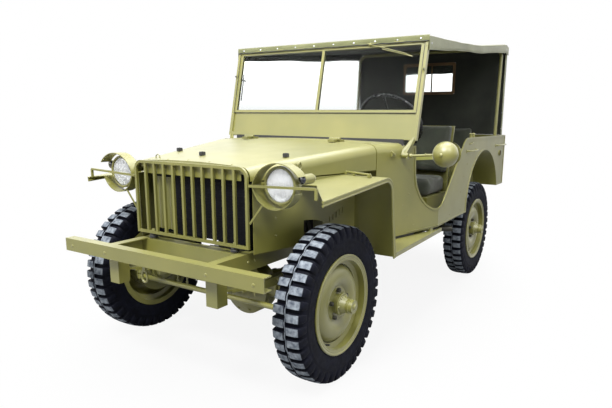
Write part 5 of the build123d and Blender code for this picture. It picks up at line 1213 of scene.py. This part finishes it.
rear_bits.head_each([(x, REAR_Y, z) for x in spread(-0.6, 0.6, 12) for z in (1.046, 0.668)], BACK, 0.0042, 0.0022, 12)
spare = Surface("spare_wheel")
for turn in circle(5, pi / 2):
    found = spare.hit(SPARE + BACK * 0.463 + Vector((cos(turn), 0, sin(turn))) * NUT_CIRCLE, FORE)
    if found:
        rear_bits.head(found[0], BACK, 0.0135, 0.004, 20)
        rear_bits.head(found[0] + BACK * 0.003, BACK, 0.0108, 0.014, turn=turn)
rear_bits.piece("rear_fittings")

# ---- controls --------------------------------------------------------------------------------
# dashboard dials and switches, lever knobs and boots, pedal rubbers
DASH_FRONT = -0.45
FLOOR_TOP = 0.6905
PEDAL_PADS = [Vector((x, -0.272, 0.772)) for x in (0.4, 0.26, 0.205)]
dial_bits, dial_dark = Shape(), Shape()
for x, z, radius in ((0.0, 0.955, 0.044), *[(x, z, 0.026) for x in (-0.115, 0.115) for z in (0.965, 0.905)]):
    found = cowl.hit((x, 0.3, z), FORE)
    if found and found[0].y > DASH_FRONT:
        spot = found[0]
        dial_dark.lathe([(0.0008, 0.0003), (0.001, radius * 0.86)], spot, BACK, 40)
        dial_bits.lathe([(0, radius), (0.004, radius * 0.99), (0.0055, radius * 0.93), (0.0042, radius * 0.86),
                         (0.0008, radius * 0.85)], spot, BACK, 40)
        dial_bits.tube([spot + Vector((reach, 0.0018, reach * 0.9)) for reach in (0, radius * 0.5)], 0.0009, 6)
for x in (-0.23, -0.2, -0.17, 0.17, 0.2):
    found = cowl.hit((x, 0.3, 0.905), FORE)
    if found and found[0].y > DASH_FRONT:
        dial_dark.head(found[0], BACK, 0.0055, 0.016, 14)
        dial_dark.head(found[0] + BACK * 0.014, BACK, 0.0085, 0.006, 18)
dial_bits.piece("dash_rims", "dark_steel", smooth=40)
# each lever's knob, and its foot in a pleated boot
LEVERS = (((0.03, -0.05, 1.0), (0.0, -0.21)), ((0.09, 0.03, 0.86), (0.07, -0.05)),
          ((0.13, 0.03, 0.86), (0.11, -0.05)), ((-0.09, -0.15, 0.9), (-0.09, -0.31)))
for knob, _ in LEVERS:
    dial_dark.ball(knob, 0.0178)
for _, foot in LEVERS:
    dial_dark.lathe([(0, 0.0265), (0.004, 0.027), (0.007, 0.0225), (0.01, 0.0245), (0.013, 0.02), (0.016, 0.0215),
                     (0.019, 0.019)], (*foot, FLOOR_TOP), UP, 28)
pad_out = Vector((0, 0.83, 0.56)).normalized()
pad_up = Vector((0, -0.56, 0.83)).normalized()
for middle in PEDAL_PADS:
    for lift in spread(-0.022, 0.022, 4):
        rib = middle + pad_out * 0.0095 + pad_up * lift
        dial_dark.tube([rib - LEFT * 0.021, rib + LEFT * 0.021], 0.0028, 8)
dial_dark.piece("control_knobs", "control_black", smooth=40)

# steering wheel: horn button, grips under the rim and collars on the spokes, square to the column
COLUMN_TILT = radians(36)
RIM_RADIUS = 0.203
column = Vector((0, cos(COLUMN_TILT), sin(COLUMN_TILT)))
hub = Vector((0.33, 0.158, 1.157))
rim_up = column.cross(LEFT).normalized()
wheel_bits = Shape()
wheel_bits.lathe([(0, 0.0295), (0.003, 0.029), (0.0045, 0.025), (0.004, 0.0215), (0.0075, 0.0205),
                  (0.0105, 0.015), (0.0118, 0.007), (0.012, 0.0004)], hub + column * 0.0278, column, 40)
for turn in circle(60):
    wheel_bits.ball(hub + (LEFT * cos(turn) + rim_up * sin(turn)) * RIM_RADIUS - column * 0.0102, 0.0042, 8)
for turn in circle(3, pi / 2):
    reach = LEFT * cos(turn) - rim_up * sin(turn)
    wheel_bits.tube([hub + reach * 0.03, hub + reach * 0.052], 0.0092, 12)
wheel_bits.piece("wheel_grips", "control_black", "steering_wheel", 40)

# springs: U-bolts and clips; axle cover bolts
spring_bits = Shape()
for side in (1, -1):
    for axle in (FRONT_AXLE, REAR_AXLE):
        for y in (axle - 0.036, axle + 0.036):
            spring_bits.tube(at(side, (0.272, y, 0.3), (0.272, y, 0.42), (0.276, y, 0.428), (0.338, y, 0.428),
                                (0.342, y, 0.42), (0.342, y, 0.3)), 0.0048, 10)
            spring_bits.head_each(at(side, (0.272, y, 0.314), (0.342, y, 0.314)), DOWN, 0.0085, 0.008)
        for y in (axle + 0.215, axle - 0.215):
            # leaf clips half way out
            spring_bits.tube(at(side, (0.2725, y, 0.398), (0.2725, y, 0.452), (0.3415, y, 0.452),
                                (0.3415, y, 0.398)), 0.003, 8)
COVER = Vector((0.15, 0, 0.356))
COVER_BOLTS = 0.105
covers = Surface("rear_axle", "front_axle")
for axle, way in ((REAR_AXLE, 1), (FRONT_AXLE, -1)):
    for turn in circle(10):
        start = COVER + Vector((cos(turn), 0, sin(turn))) * COVER_BOLTS + BACK * (axle + way * 0.5)
        found = covers.hit(start, -way * BACK)
        if found:
            spring_bits.head(*found, 0.0065, 0.005)
spring_bits.piece("chassis_fittings")

make_camera()
make_studio()
